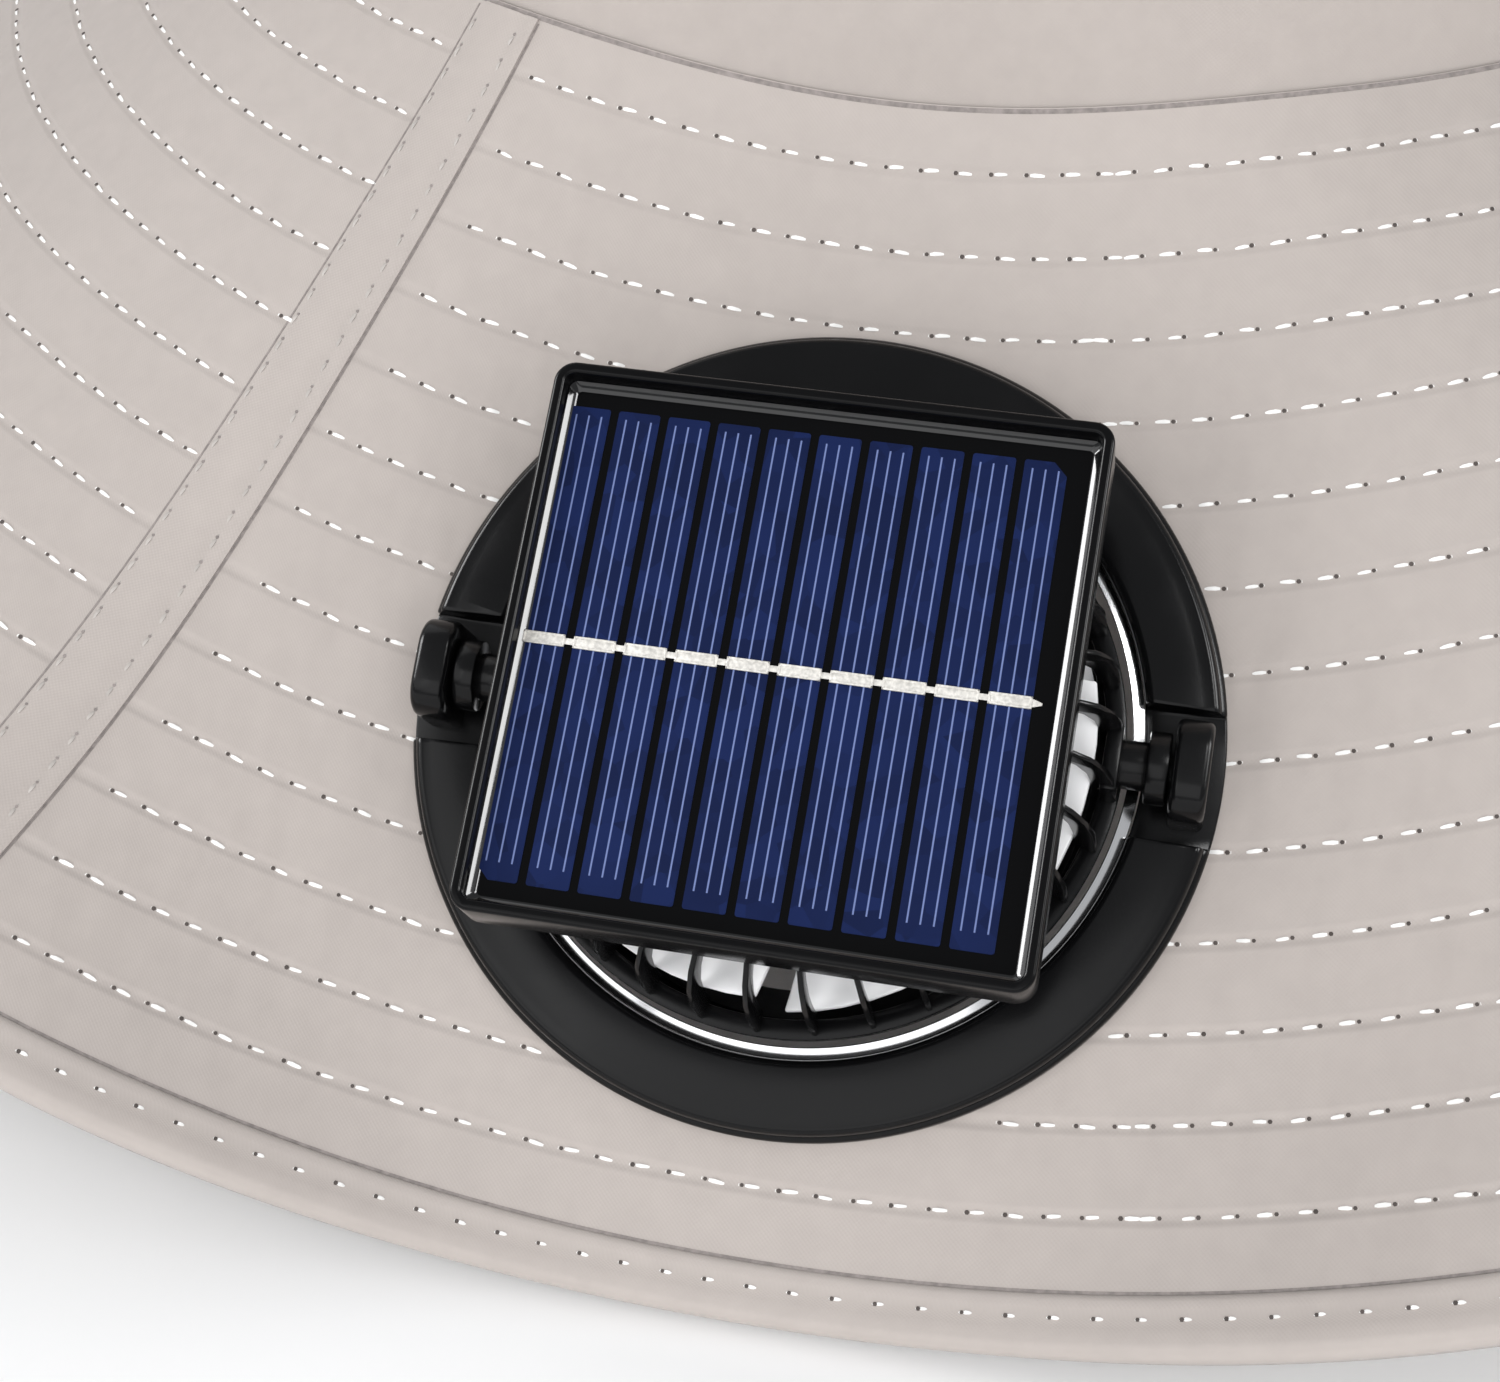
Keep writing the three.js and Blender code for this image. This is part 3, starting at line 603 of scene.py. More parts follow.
def mesh_object(name: str, shape: Shape, finish: Finish, crease: float = CREASE) -> bpy.types.Object:
    """Makes a Blender object from a shape in millimetres.

    Args:
        name: The object's name.
        shape: Its points and faces.
        finish: Its finish.
        crease: Edges sharper than this many degrees stay crisp.

    Returns:
        The linked object.
    """
    mesh = bpy.data.meshes.new(name)
    mesh.from_pydata((shape.points * MM).tolist(), [], shape.faces)
    if shape.uv is not None:
        layer = mesh.uv_layers.new(name="cloth")
        corners = np.zeros(len(mesh.loops), np.int32)
        mesh.loops.foreach_get("vertex_index", corners)
        starts = np.zeros(len(mesh.polygons), np.int32)
        mesh.polygons.foreach_get("loop_start", starts)
        place = shape.uv[corners]
        sizes = np.diff(np.append(starts, len(corners)))
        furthest = np.repeat(np.maximum.reduceat(place[:, 0], starts), sizes)
        # Where a ring closes, half of a face's corners are one turn behind the others.
        behind = furthest - place[:, 0] > LONGEST_FACE
        place[behind, 0] *= -1
        layer.data.foreach_set("uv", place.astype(np.float32).ravel())
    mesh.materials.append(finish.build())
    obj = bpy.data.objects.new(name, mesh)
    bpy.context.scene.collection.objects.link(obj)
    tidy(obj, crease)
    return obj


def tidy(obj: bpy.types.Object, crease: float = CREASE) -> None:
    """Turns faces outwards and shades the mesh smooth but for its sharp edges.

    Args:
        obj: The object to tidy.
        crease: Edges sharper than this many degrees stay crisp.
    """
    work = bmesh.new()
    work.from_mesh(obj.data)
    bmesh.ops.recalc_face_normals(work, faces=work.faces)
    work.to_mesh(obj.data)
    work.free()
    obj.data.shade_smooth()
    obj.data.set_sharp_from_angle(angle=crease * DEGREE)


def apply_modifiers(obj: bpy.types.Object) -> None:
    """Turns an object and its modifiers into one plain mesh."""
    bpy.context.view_layer.update()
    graph = bpy.context.evaluated_depsgraph_get()
    made = bpy.data.meshes.new_from_object(obj.evaluated_get(graph))
    old = obj.data
    obj.modifiers.clear()
    obj.data = made
    bpy.data.meshes.remove(old)
    made.name = obj.name
    tidy(obj)


def bevelled(obj: bpy.types.Object, width: float, segments: int = 2, angle: float = 35.0) -> None:
    """Rounds the sharp edges of an object.

    Args:
        obj: The object.
        width: Width of the rounding in millimetres.
        segments: How many facets each rounding has.
        angle: Edges sharper than this many degrees are rounded.
    """
    modifier = obj.modifiers.new("edges", "BEVEL")
    modifier.width = width * MM
    modifier.segments = segments
    modifier.limit_method = "ANGLE"
    modifier.angle_limit = angle * DEGREE
    modifier.use_clamp_overlap = True
    apply_modifiers(obj)


def cut_away(obj: bpy.types.Object, cutters: Sequence[Shape]) -> None:
    """Cuts shapes out of an object.

    Args:
        obj: The object.
        cutters: Closed shapes in millimetres.
    """
    made = []
    for number, shape in enumerate(cutters):
        tool = mesh_object(f"cutter_{number}", shape, NEEDLE_HOLE_SHADE)
        modifier = obj.modifiers.new(tool.name, "BOOLEAN")
        modifier.operation = "DIFFERENCE"
        modifier.solver = "EXACT"
        modifier.object = tool
        made.append(tool)
    apply_modifiers(obj)
    for tool in made:
        bpy.data.objects.remove(tool)


# Facets round a part, from the widest to the smallest.
RING_FACETS = 240
RIM_FACETS = 200
SHELL_FACETS = 160
ROUND_FACETS = 96
SMALL_FACETS = 64
ROD_FACETS = 32


def prism(outline: Sequence[Pair], limits: Pair, axis: int = 2) -> Shape:
    """A straight solid with the same outline all along.

    Args:
        outline: Points of the outline, in the order of the two other axes.
        limits: Where it starts and ends.
        axis: The axis along which it runs.

    Returns:
        The closed solid.
    """
    flat = np.array(outline, float)
    sections = np.stack([np.insert(flat, axis, limit, axis=1) for limit in limits])
    return Shape.loft(sections, False)


def circle(radius: float, sides: int) -> np.ndarray:
    """The corners of a round outline."""
    angle = np.arange(sides) * TURN / sides
    return np.stack([np.cos(angle) * radius, np.sin(angle) * radius], -1)


def slab(x: Pair, y: Pair, z: Pair) -> Shape:
    """A box between two limits along each axis."""
    return prism([(x[0], y[0]), (x[1], y[0]), (x[1], y[1]), (x[0], y[1])], z)


def rounded_outline(width: float, length: float, corner: float, steps: int) -> list[Pair]:
    """Corners of a rectangle with rounded corners.

    Args:
        width: Size along X.
        length: Size along Y.
        corner: Radius of the corners.
        steps: Facets in each corner.

    Returns:
        The outline's points.
    """
    points = []
    for quarter, (sx, sy) in enumerate([(1, 1), (-1, 1), (-1, -1), (1, -1)]):
        for step in range(steps + 1):
            angle = (quarter + step / steps) * math.pi / 2
            points.append((
                sx * (width / 2 - corner) + corner * math.cos(angle),
                sy * (length / 2 - corner) + corner * math.sin(angle),
            ))
    return points


def plate(width: float, length: float, corner: float, z: Pair, steps: int) -> Shape:
    """An upright plate with rounded corners, centred on the axis."""
    return prism(rounded_outline(width, length, corner, steps), z)


def rod(radius: float, x: Pair) -> Shape:
    """A round bar along X."""
    return prism(circle(radius, ROD_FACETS), x, axis=0)


def bar(radius: float, z: Pair, sides: int) -> Shape:
    """An upright round bar."""
    return prism(circle(radius, sides), z)


class Repeater:
    """Geometry Nodes that set one small shape on every point of a path, turned as the point says."""

    TREE = "repeat_on_points"
    INPUTS = (
        ("Points", "Geometry"), ("Shape", "Object"), ("Size spread", "Float"),
        ("Angle spread", "Float"), ("Seed", "Int"), ("Finish", "Material"),
    )

    def __init__(self) -> None:
        """Builds the tree once."""
        self.tree = bpy.data.node_groups.get(self.TREE) or self.build()

    def build(self) -> bpy.types.NodeTree:
        """Makes the tree and its named inputs.

        Returns:
            The node tree.
        """
        tree = bpy.data.node_groups.new(self.TREE, "GeometryNodeTree")
        tree.interface.new_socket("Geometry", in_out="OUTPUT", socket_type="NodeSocketGeometry")
        for name, kind in self.INPUTS:
            tree.interface.new_socket(name, in_out="INPUT", socket_type=f"NodeSocket{kind}")
        given = add(tree, "NodeGroupInput").outputs
        shape = add(tree, "GeometryNodeObjectInfo", {"Object": given["Shape"]})
        turn = add(tree, "GeometryNodeInputNamedAttribute", {"Name": "turn"}, data_type="FLOAT_VECTOR")
        rotation = add(tree, "FunctionNodeEulerToRotation", {0: turn.outputs[0]})
        less = add(tree, "ShaderNodeMath", {0: given["Angle spread"], 1: -1.0}, operation="MULTIPLY")
        low_turn = add(tree, "ShaderNodeCombineXYZ", {"Z": less.outputs[0]})
        high_turn = add(tree, "ShaderNodeCombineXYZ", {"Z": given["Angle spread"]})
        sway = add(tree, "FunctionNodeRandomValue", {
            0: low_turn.outputs[0], 1: high_turn.outputs[0], "Seed": given["Seed"],
        }, data_type="FLOAT_VECTOR")
        sway_rotation = add(tree, "FunctionNodeEulerToRotation", {0: sway.outputs[0]})
        turned = add(tree, "FunctionNodeRotateRotation", {
            0: rotation.outputs[0], 1: sway_rotation.outputs[0],
        }, rotation_space="LOCAL")
        smallest = add(tree, "ShaderNodeMath", {0: 1.0, 1: given["Size spread"]}, operation="SUBTRACT")
        largest = add(tree, "ShaderNodeMath", {0: 1.0, 1: given["Size spread"]}, operation="ADD")
        size = add(tree, "FunctionNodeRandomValue", {
            2: smallest.outputs[0], 3: largest.outputs[0], "Seed": given["Seed"],
        }, data_type="FLOAT")
        placed = add(tree, "GeometryNodeInstanceOnPoints", {
            "Points": given["Points"], "Instance": shape.outputs["Geometry"],
            "Rotation": turned.outputs[0], "Scale": size.outputs[1],
        })
        real = add(tree, "GeometryNodeRealizeInstances", {0: placed.outputs[0]})
        dressed = add(tree, "GeometryNodeSetMaterial", {
            "Geometry": real.outputs[0], "Material": given["Finish"],
        })
        add(tree, "NodeGroupOutput", {0: dressed.outputs[0]})
        return tree

    def run(
        self, name: str, points: np.ndarray, turns: np.ndarray, shape: Shape, finish: Finish,
        size_spread: float = 0.0, angle_spread: float = 0.0, seed: int = 1,
    ) -> bpy.types.Object:
        """Sets the shape on the points and returns the plain mesh that results.

        Args:
            name: Name of the piece.
            points: Place of each copy in millimetres.
            turns: Euler angles of each copy.
            shape: The small shape, in millimetres round its own origin.
            finish: Its finish.
            size_spread: Random change of size, as a share.
            angle_spread: Random turn in degrees about each copy's own Z.
            seed: Seed of both.

        Returns:
            The finished object, not yet riding on a body.
        """
        small = mesh_object(f"{name}_shape", shape, finish)
        mesh = bpy.data.meshes.new(name)
        mesh.from_pydata((points * MM).tolist(), [], [])
        turn = mesh.attributes.new("turn", "FLOAT_VECTOR", "POINT")
        turn.data.foreach_set("vector", turns.astype(np.float32).ravel())
        obj = bpy.data.objects.new(name, mesh)
        bpy.context.scene.collection.objects.link(obj)
        modifier = obj.modifiers.new("repeat", "NODES")
        modifier.node_group = self.tree
        values = {
            "Shape": small, "Size spread": size_spread, "Angle spread": angle_spread * DEGREE,
            "Seed": seed, "Finish": finish.build(),
        }
        for item in self.tree.interface.items_tree:
            if item.in_out == "INPUT" and item.name in values:
                modifier[item.identifier] = values[item.name]
        apply_modifiers(obj)
        bpy.data.objects.remove(small)
        return obj


def euler_turns(along: np.ndarray, normal: np.ndarray) -> np.ndarray:
    """Euler angles that lay X along a path and Z along a normal.

    Args:
        along: Directions of the path.
        normal: Normals of the surface.

    Returns:
        The angles of each point.
    """
    turns = []
    for x, z in zip(along, normal):
        across = np.cross(z, x)
        across /= np.linalg.norm(across)
        ahead = np.cross(across, z)
        turns.append(Matrix((ahead, across, z)).transposed().to_euler())
    return np.array(turns)


@dataclass
class BrimSurface:
    """The upper face of the brim, a formula of the way out along the cloth and the angle from the front."""

    crown_radius: float = 95.0
    width: float = 123.0
    wall: float = 2.4
    slope: float = 43.8 * DEGREE
    side_rise: float = 20.6 * DEGREE
    rise_share: float = 0.287
    flare: float = 21.6 * DEGREE
    fan_slant: float = 65.7
    flat_radius: float = 46.0
    blend_radius: float = 90.0
    steps: int = 12
    offset: np.ndarray = field(default_factory=lambda: np.zeros(3))

    def __post_init__(self) -> None:
        """Works out the fan's plane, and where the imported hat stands."""
        lean = float(self.lean(np.array(0.0), np.array(self.fan_slant / self.width)))
        self.fan_normal = np.array([0.0, -math.sin(lean), math.cos(lean)])
        self.fan_centre = self.open_point(np.array(self.fan_slant), np.array(0.0))
        self.offset = np.array(PLACE.ring.translation) - self.fan_centre

    def lean(self, angle: np.ndarray, share: np.ndarray) -> np.ndarray:
        """Downward slope of the cloth.

        Args:
            angle: Angle from the front.
            share: Way out to the edge.

        Returns:
            The slope, least at the sides.
        """
        side = np.sin(angle) ** 2
        rise = self.side_rise * side * (1 + self.rise_share) / (side + self.rise_share)
        return self.slope - rise + self.flare * (0.5 - share)

    def open_point(self, slant: np.ndarray, angle: np.ndarray) -> np.ndarray:
        """The point before the cloth is flattened round the fan.

        Args:
            slant: Millimetres out along the cloth from the crown.
            angle: Angle from the front, towards +X.

        Returns:
            Points from the middle of the crown's foot.
        """
        slant, angle = np.broadcast_arrays(np.asarray(slant, float), np.asarray(angle, float))
        step = slant / self.steps
        radius = np.full(slant.shape, self.crown_radius)
        height = np.zeros(slant.shape)
        for i in range(self.steps):
            lean = self.lean(angle, (i + 0.5) * step / self.width)
            radius = radius + step * np.cos(lean)
            height = height - step * np.sin(lean)
        return np.stack([radius * np.sin(angle), -radius * np.cos(angle), height], -1)

    def flattened(self, slant: np.ndarray, angle: np.ndarray) -> np.ndarray:
        """The point on the upper face, level with the bezel round the fan.

        Args:
            slant: Millimetres out along the cloth from the crown.
            angle: Angle from the front.

        Returns:
            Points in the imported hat's own place.
        """
        point = self.open_point(slant, angle)
        away = point - self.fan_centre
        height = away @ self.fan_normal
        distance = np.sqrt(np.maximum((away ** 2).sum(-1) - height ** 2, 0))
        share = np.clip((self.blend_radius - distance) / (self.blend_radius - self.flat_radius), 0, 1)
        weight = share * share * (3 - 2 * share)
        return point - (weight * height)[..., None] * self.fan_normal + self.offset

    def frame_at(self, slant: np.ndarray, angle: np.ndarray) -> tuple[np.ndarray, np.ndarray, np.ndarray]:
        """Directions of the surface.

        Args:
            slant: Millimetres out along the cloth from the crown.
            angle: Angle from the front.

        Returns:
            Unit vectors outwards along the cloth, round the hat, and up out of the cloth.
        """
        out = self.flattened(slant + 1, angle) - self.flattened(slant - 1, angle)
        around = self.flattened(slant, angle + DEGREE) - self.flattened(slant, angle - DEGREE)
        normal = np.cross(out, around)
        normal = normal * np.sign(normal[..., 2:3])
        return tuple(v / np.linalg.norm(v, axis=-1, keepdims=True) for v in (out, around, normal))

    def radius_at(self, slant: np.ndarray, angle: float) -> np.ndarray:
        """Distance from the middle of the box, all along one angle."""
        place = self.flattened(slant, np.full(slant.shape, angle))
        return np.hypot(place[:, 0], place[:, 1])

    def point(self, slant: np.ndarray, angle: np.ndarray, lift: float | np.ndarray = 0.0) -> np.ndarray:
        """The point lifted out of the cloth by some millimetres."""
        normal = self.frame_at(slant, angle)[2]
        return self.flattened(slant, angle) + normal * np.asarray(lift)[..., None]


@dataclass
class ClothHat:
    """The sewn hat: brim, hem, joining strips and crown."""

    surface: BrimSurface = field(default_factory=BrimSurface)
    columns: int = 400
    hem_width: float = 5.7
    hem_lift: float = 0.45
    hem_row: float = 3.4  # hem stitches, from the edge
    hem_pitch: float = 4.1  # from stitch to stitch
    hem_stitch: Pair = (1.3, 0.34)  # length and thickness of the thread that shows
    hem_hole: float = 0.24  # radius
    strip_width: float = 8.5
    strip_angle: float = -25.4 * DEGREE
    strip_lift: float = 0.5
    strip_pitch: float = 3.1
    strip_stitch: Pair = (2.0, 0.36)
    strip_hole: float = 0.2
    first_row: float = 6.69
    row_pitch: float = ROW_PITCH
    row_count: int = 13
    stitch_pitch: float = 3.6
    row_stitch: Pair = (2.7, 0.38)
    row_hole: float = 0.25
    turn_angle: float = 12 * DEGREE  # where the longer half of each stitch changes sides
    fold_width: float = 0.32  # painted shadow line along a fold
    fold_lift: float = 0.14
    fan_opening: float = 35.5  # radius of the hole under the bezel
    bezel_clearance: float = 40.4
    crown_height: float = 88.0
    crown_wall: float = 2.0
    crown_top_radius: float = 84.0
    crown_bulge: float = 3.0
    crown_dome: float = 8.0
    crown_row: float = 0.965  # row of stitches on the top, as a share of its radius
    crown_stitch: Pair = (2.4, 0.45)

    @property
    def strip_angles(self) -> Pair:
        """Where the two joining strips have their folded edges."""
        return self.strip_angle, self.strip_angle + math.pi

    @property
    def crown_base(self) -> float:
        """Height of the upper end of the crown's wall."""
        return self.surface.offset[2] + self.crown_height

    def angles(self, count: int) -> np.ndarray:
        """Equal steps once round the hat, from the back."""
        return -math.pi + np.arange(count) * TURN / count

    def build_brim(self) -> None:
        """The quilted brim with its hole for the fan."""
        face = self.surface
        end = face.width - 0.8  # just inside the hem's fold
        slants = np.linspace(0, end, 64)
        angle = self.angles(self.columns)
        s, a = np.meshgrid(slants, angle)
        top = face.point(s, a, 0.1)
        under = face.point(s, a, -face.wall)[:, 1::2][:, ::-1]
        foot = top[:, :1] + np.array([0, 0, -3.0])  # its root turns down inside the crown
        sections = np.concatenate([top, under, foot], 1)
        along = a * np.hypot(top[..., 0], top[..., 1])
        uv_top = np.stack([along, s - self.first_row], -1)
        uv = np.concatenate([uv_top, uv_top[:, 1::2][:, ::-1], uv_top[:, :1]], 1)
        obj = mesh_object("brim_cloth", Shape.loft(sections, True, uv), QUILTED, crease=60.0)
        through = (-14.0, 14.0)
        cut_away(obj, [bar(self.fan_opening, through, ROUND_FACETS).moved(PLACE.ring)])
        finish_piece(obj, Body.HAT, ["brim"])

    def build_hem(self) -> None:
        """The binding folded over the edge of the brim."""
        face = self.surface
        edge, wall, lift = face.width, face.wall, self.hem_lift
        inner, row = edge - self.hem_width, edge - self.hem_row
        slant, height = np.array([
            (inner, 0.0), (inner + 0.15, lift * 0.75), (inner + 0.7, lift), (row - 0.9, lift),
            (row, lift - 0.2), (row + 0.9, lift), (edge - 1.2, lift), (edge - 0.3, lift * 0.5),
            (edge, -wall / 2), (edge - 0.3, -wall - lift * 0.5), (edge - 1.2, -wall - lift),
            (inner + 0.7, -wall - lift), (inner, -wall),
        ]).T
        s, a = np.meshgrid(slant, self.angles(self.columns))
        sections = face.point(s, a, height)
        along = a * np.hypot(sections[..., 0], sections[..., 1])
        uv = np.stack([along, s + 3 * height], -1)
        obj = mesh_object("hem_cloth", Shape.loft(sections, True, uv), CLOTH, crease=70.0)
        finish_piece(obj, Body.HAT, ["brim_hem"])

    def build_strip(self, name: str, angle: float, node: str) -> None:
        """A felled seam that joins two panels of the brim.

        Args:
            name: Name of the piece.
            angle: Angle of its folded edge.
            node: The solid that it stands for.
        """
        face = self.surface
        slants = np.linspace(0.6, face.width - self.hem_width - 0.2, 60)
        radius = face.radius_at(slants, angle)
        lift, width = self.strip_lift, self.strip_width
        across, height = np.array([
            (0.0, 0.0), (0.0, lift * 0.8), (0.3, lift), (1.3, lift * 0.95), (1.9, lift * 0.55),
            (2.5, lift * 0.95), (4.2, lift), (width - 1.2, lift * 0.8), (width - 0.6, lift * 0.35),
            (width - 0.1, lift * 0.3), (width, 0.0),
        ]).T
        a = angle - across[None, :] / radius[:, None]
        s = np.repeat(slants[:, None], len(across), 1)
        uv = np.stack([np.broadcast_to(across, s.shape), s], -1)
        obj = mesh_object(name, Shape.loft(face.point(s, a, height), False, uv), CLOTH, crease=50.0)
        finish_piece(obj, Body.HAT, [node])

    def build_crown(self) -> None:
        """The wall and the domed top of the crown."""
        face = self.surface
        angle = self.angles(self.columns)
        centre = np.array([0.0, face.offset[1], 0.0])
        edge = face.flattened(np.zeros(self.columns), angle) - centre
        foot = np.hypot(edge[:, :1], edge[:, 1:2]) - 0.3  # just inside the brim's root
        # The wall starts a little below the brim.
        share = np.concatenate([[-0.02], np.linspace(0, 1, 40)])[None, :]
        r = foot + (self.crown_top_radius - foot) * share + self.crown_bulge * np.sin(math.pi * share)
        z = edge[:, 2:3] + (self.crown_base - edge[:, 2:3]) * share
        radii = np.concatenate([r, (r - self.crown_wall)[:, ::-1]], 1)
        heights = np.concatenate([z, z[:, ::-1]], 1)
        a = np.broadcast_to(angle[:, None], radii.shape)
        sections = np.stack([radii * np.sin(a), -radii * np.cos(a), heights], -1) + centre
        girth = 90.0  # the wall's middle radius, which turns an angle into a length of cloth
        uv = np.stack([a * girth, heights], -1)
        wall = mesh_object("crown_wall_cloth", Shape.loft(sections, True, uv), CLOTH, crease=60.0)
        finish_piece(wall, Body.HAT, ["crown_side"])
        base = self.crown_base + 0.15
        shares = np.linspace(0, 1, 24)
        reach = self.crown_top_radius
        inner = reach - 4.0
        top = [(reach * s + 0.4 * (s == 1), base + 2 + self.crown_dome * (1 - s * s)) for s in shares]
        under = [(inner * s, base + self.crown_dome * (1 - s * s)) for s in shares[::-1]]
        rim = [(reach + 0.5, base + 1.2), (reach + 0.1, base)]
        cap = self.domed(top[1:] + rim + under[:-1], base).moved(Matrix.Translation(centre))
        obj = mesh_object("crown_top_cloth", cap, CLOTH, crease=60.0)
        finish_piece(obj, Body.HAT, ["crown_top"])

    def domed(self, outline: list[Pair], base: float) -> Shape:
        """A turned shell whose profile starts and ends on the axis.

        Args:
            outline: Radius and height of the profile away from the axis.
            base: Height of its foot.

        Returns:
            The closed shape, with its place on the cloth.
        """
        sides = SHELL_FACETS
        profile = np.array(outline)
        turned = profile[:, :1, None] * circle(1.0, sides)
        ring = np.concatenate([turned, np.repeat(profile[:, 1:, None], sides, 1)], -1)
        count = len(profile)
        points = ring.reshape(-1, 3)
        poles = np.array([[0, 0, base + 2 + self.crown_dome], [0, 0, base + self.crown_dome]])
        faces = grid_faces(count, sides, False, True).tolist()
        top_pole = count * sides
        last = (count - 1) * sides
        for k in range(sides):
            after = (k + 1) % sides
            faces.append([top_pole, after, k])
            faces.append([top_pole + 1, last + k, last + after])
        points = np.concatenate([points, poles])
        return Shape(points, faces, points[:, :2])

    def row_points(self, slant: float, pitch: float) -> np.ndarray:
        """Angles of equal stitches along one row.

        Args:
            slant: Where the row runs.
            pitch: Length from stitch to stitch.

        Returns:
            The angles.
        """
        fine = np.linspace(-math.pi, math.pi, 2001)
        line = self.surface.flattened(np.full(fine.shape, slant), fine)
        length = np.concatenate([[0], np.cumsum(np.linalg.norm(np.diff(line, axis=0), axis=1))])
        count = round(length[-1] / pitch)
        return np.interp(np.arange(count) * length[-1] / count, length, fine)

    def clear_of_strips(self, slant: float, angle: np.ndarray) -> np.ndarray:
        """Whether the stitches of a row lie clear of both joining strips.

        Args:
            slant: Where the row runs.
            angle: Angle of each stitch.

        Returns:
            One truth value for each stitch.
        """
        radius = self.surface.crown_radius + slant * 0.75  # the brim slopes, so less than its width
        before = (self.strip_width + 1.0) / radius
        after = 1.6 / radius
        clear = np.ones(angle.shape, bool)
        for start in self.strip_angles:
            apart = (angle - start + math.pi) % TURN - math.pi
            clear &= (apart < -before) | (apart > after)
        return clear

    def quilting(self, lift: float) -> tuple[np.ndarray, np.ndarray]:
        """Places and turns of the brim's stitches on one face.

        Args:
            lift: Height over the upper face.

        Returns:
            Points and Euler angles.
        """
        face = self.surface
        points, turns = [], []
        for row in range(self.row_count):
            slant = self.first_row + row * self.row_pitch
            angle = self.row_points(slant, self.stitch_pitch)
            angle = angle[self.clear_of_strips(slant, angle)]
            s = np.full(angle.shape, slant)
            flat = face.flattened(s, angle) - np.array(PLACE.ring.translation)
            keep = np.linalg.norm(flat, axis=1) > self.bezel_clearance
            _, around, normal = face.frame_at(s, angle)
            around = around * np.where(angle > self.turn_angle, -1.0, 1.0)[:, None]
            points.append(face.point(s, angle, lift)[keep])
            turns.append(euler_turns(around[keep], normal[keep]))
        return np.concatenate(points), np.concatenate(turns)

    def stitch(self, length: float, width: float) -> Shape:
        """The thread of one stitch along X: a long and a short loop that dive into the same hole.

        Args:
            length: From end to end.
            width: Width of the thread.

        Returns:
            The two closed loops.
        """
        loops = []
        angle = np.arange(4) * TURN / 4 + math.pi / 4
        # Each station gives its place as a share of the length, its thickness and how deep it lies.
        for stations in (
            ((-0.3, 0.2, 0.6), (-0.1, 0.7, 0.5)),
            ((0.09, 0.6, 0.6), (0.28, 1.0, 0.0), (0.52, 0.85, 0.05), (0.74, 0.15, 0.7)),
        ):
            sections = []
            for along, size, sink in stations:
                half = width / 2 * size * math.sqrt(2)
                sections.append([
                    (along * length, math.cos(t) * half, (math.sin(t) * 0.8 * half) - sink * width / 2)
                    for t in angle
                ])
            loops.append(Shape.loft(np.array(sections), False))
        return loops[0].joined(loops[1])

    def hole(self, radius: float) -> Shape:
        """The needle hole in the middle of a stitch, as a shallow stud that carries the painted shade inside
        the hole.

        Args:
            radius: Radius of the hole.

        Returns:
            The closed stud.
        """
        angle = np.arange(6) * TURN / 6
        sections = [
            [(size * radius * math.cos(t), size * radius * math.sin(t), height) for t in angle]
            for size, height in ((1.0, -0.25), (0.9, 0.06))
        ]
        return Shape.loft(np.array(sections), False)

    def sew(
        self, name: str, where: tuple[np.ndarray, np.ndarray], shape: Shape, finish: Finish,
        spreads: Pair, seed: int,
    ) -> None:
        """Sets one stitch or one hole all along some seams and makes that a piece.

        Args:
            name: Name of the piece.
            where: Points and Euler angles.
            shape: The stitch or the hole.
            finish: Its finish.
            spreads: Random change of size, as a share, and random turn in degrees.
            seed: Seed of both.
        """
        piece = Repeater().run(name, *where, shape, finish, *spreads, seed)
        finish_piece(piece, Body.HAT)

    def build_stitches(self) -> None:
        """All rows of thread on the hat."""
        loop = self.stitch(*self.row_stitch)
        rows = self.quilting(0.1)
        self.sew("brim_stitches", rows, loop, WHITE_THREAD, (0.12, 5), 3)
        # Dark studs of painted shade stand for the needle holes.
        self.sew("brim_needle_holes", rows, self.hole(self.row_hole), NEEDLE_HOLE_SHADE, (0.1, 0), 5)
        self.sew("brim_stitches_under", self.quilting(-self.surface.wall), loop, GREY_THREAD, (0.1, 5), 7)
        self.build_hem_stitches()
        self.build_strip_stitches()
        self.build_crown_stitches()

    def fold(self, slant: np.ndarray, angle: np.ndarray, width: float, ring: bool) -> Shape:
        """A narrow ribbon of painted shadow sunk in the cloth along a fold, where no light reaches.

        Args:
            slant: Way out along the cloth of each point.
            angle: Angle of each point.
            width: Width of the line.
            ring: Whether the fold closes on itself.

        Returns:
            The closed ribbon.
        """
        middle = self.surface.point(slant, angle, np.full(slant.shape, self.fold_lift))
        normal = self.surface.frame_at(slant, angle)[2]
        run = np.roll(middle, -1, 0) - np.roll(middle, 1, 0)
        if not ring:
            run[0] = middle[1] - middle[0]
            run[-1] = middle[-1] - middle[-2]
        across = np.cross(normal, run)
        across *= width / 2 / np.linalg.norm(across, axis=1, keepdims=True)
        deep = normal * 0.25
        sections = [middle - across, middle + across, middle + across - deep, middle - across - deep]
        return Shape.loft(np.stack(sections, 1), ring)

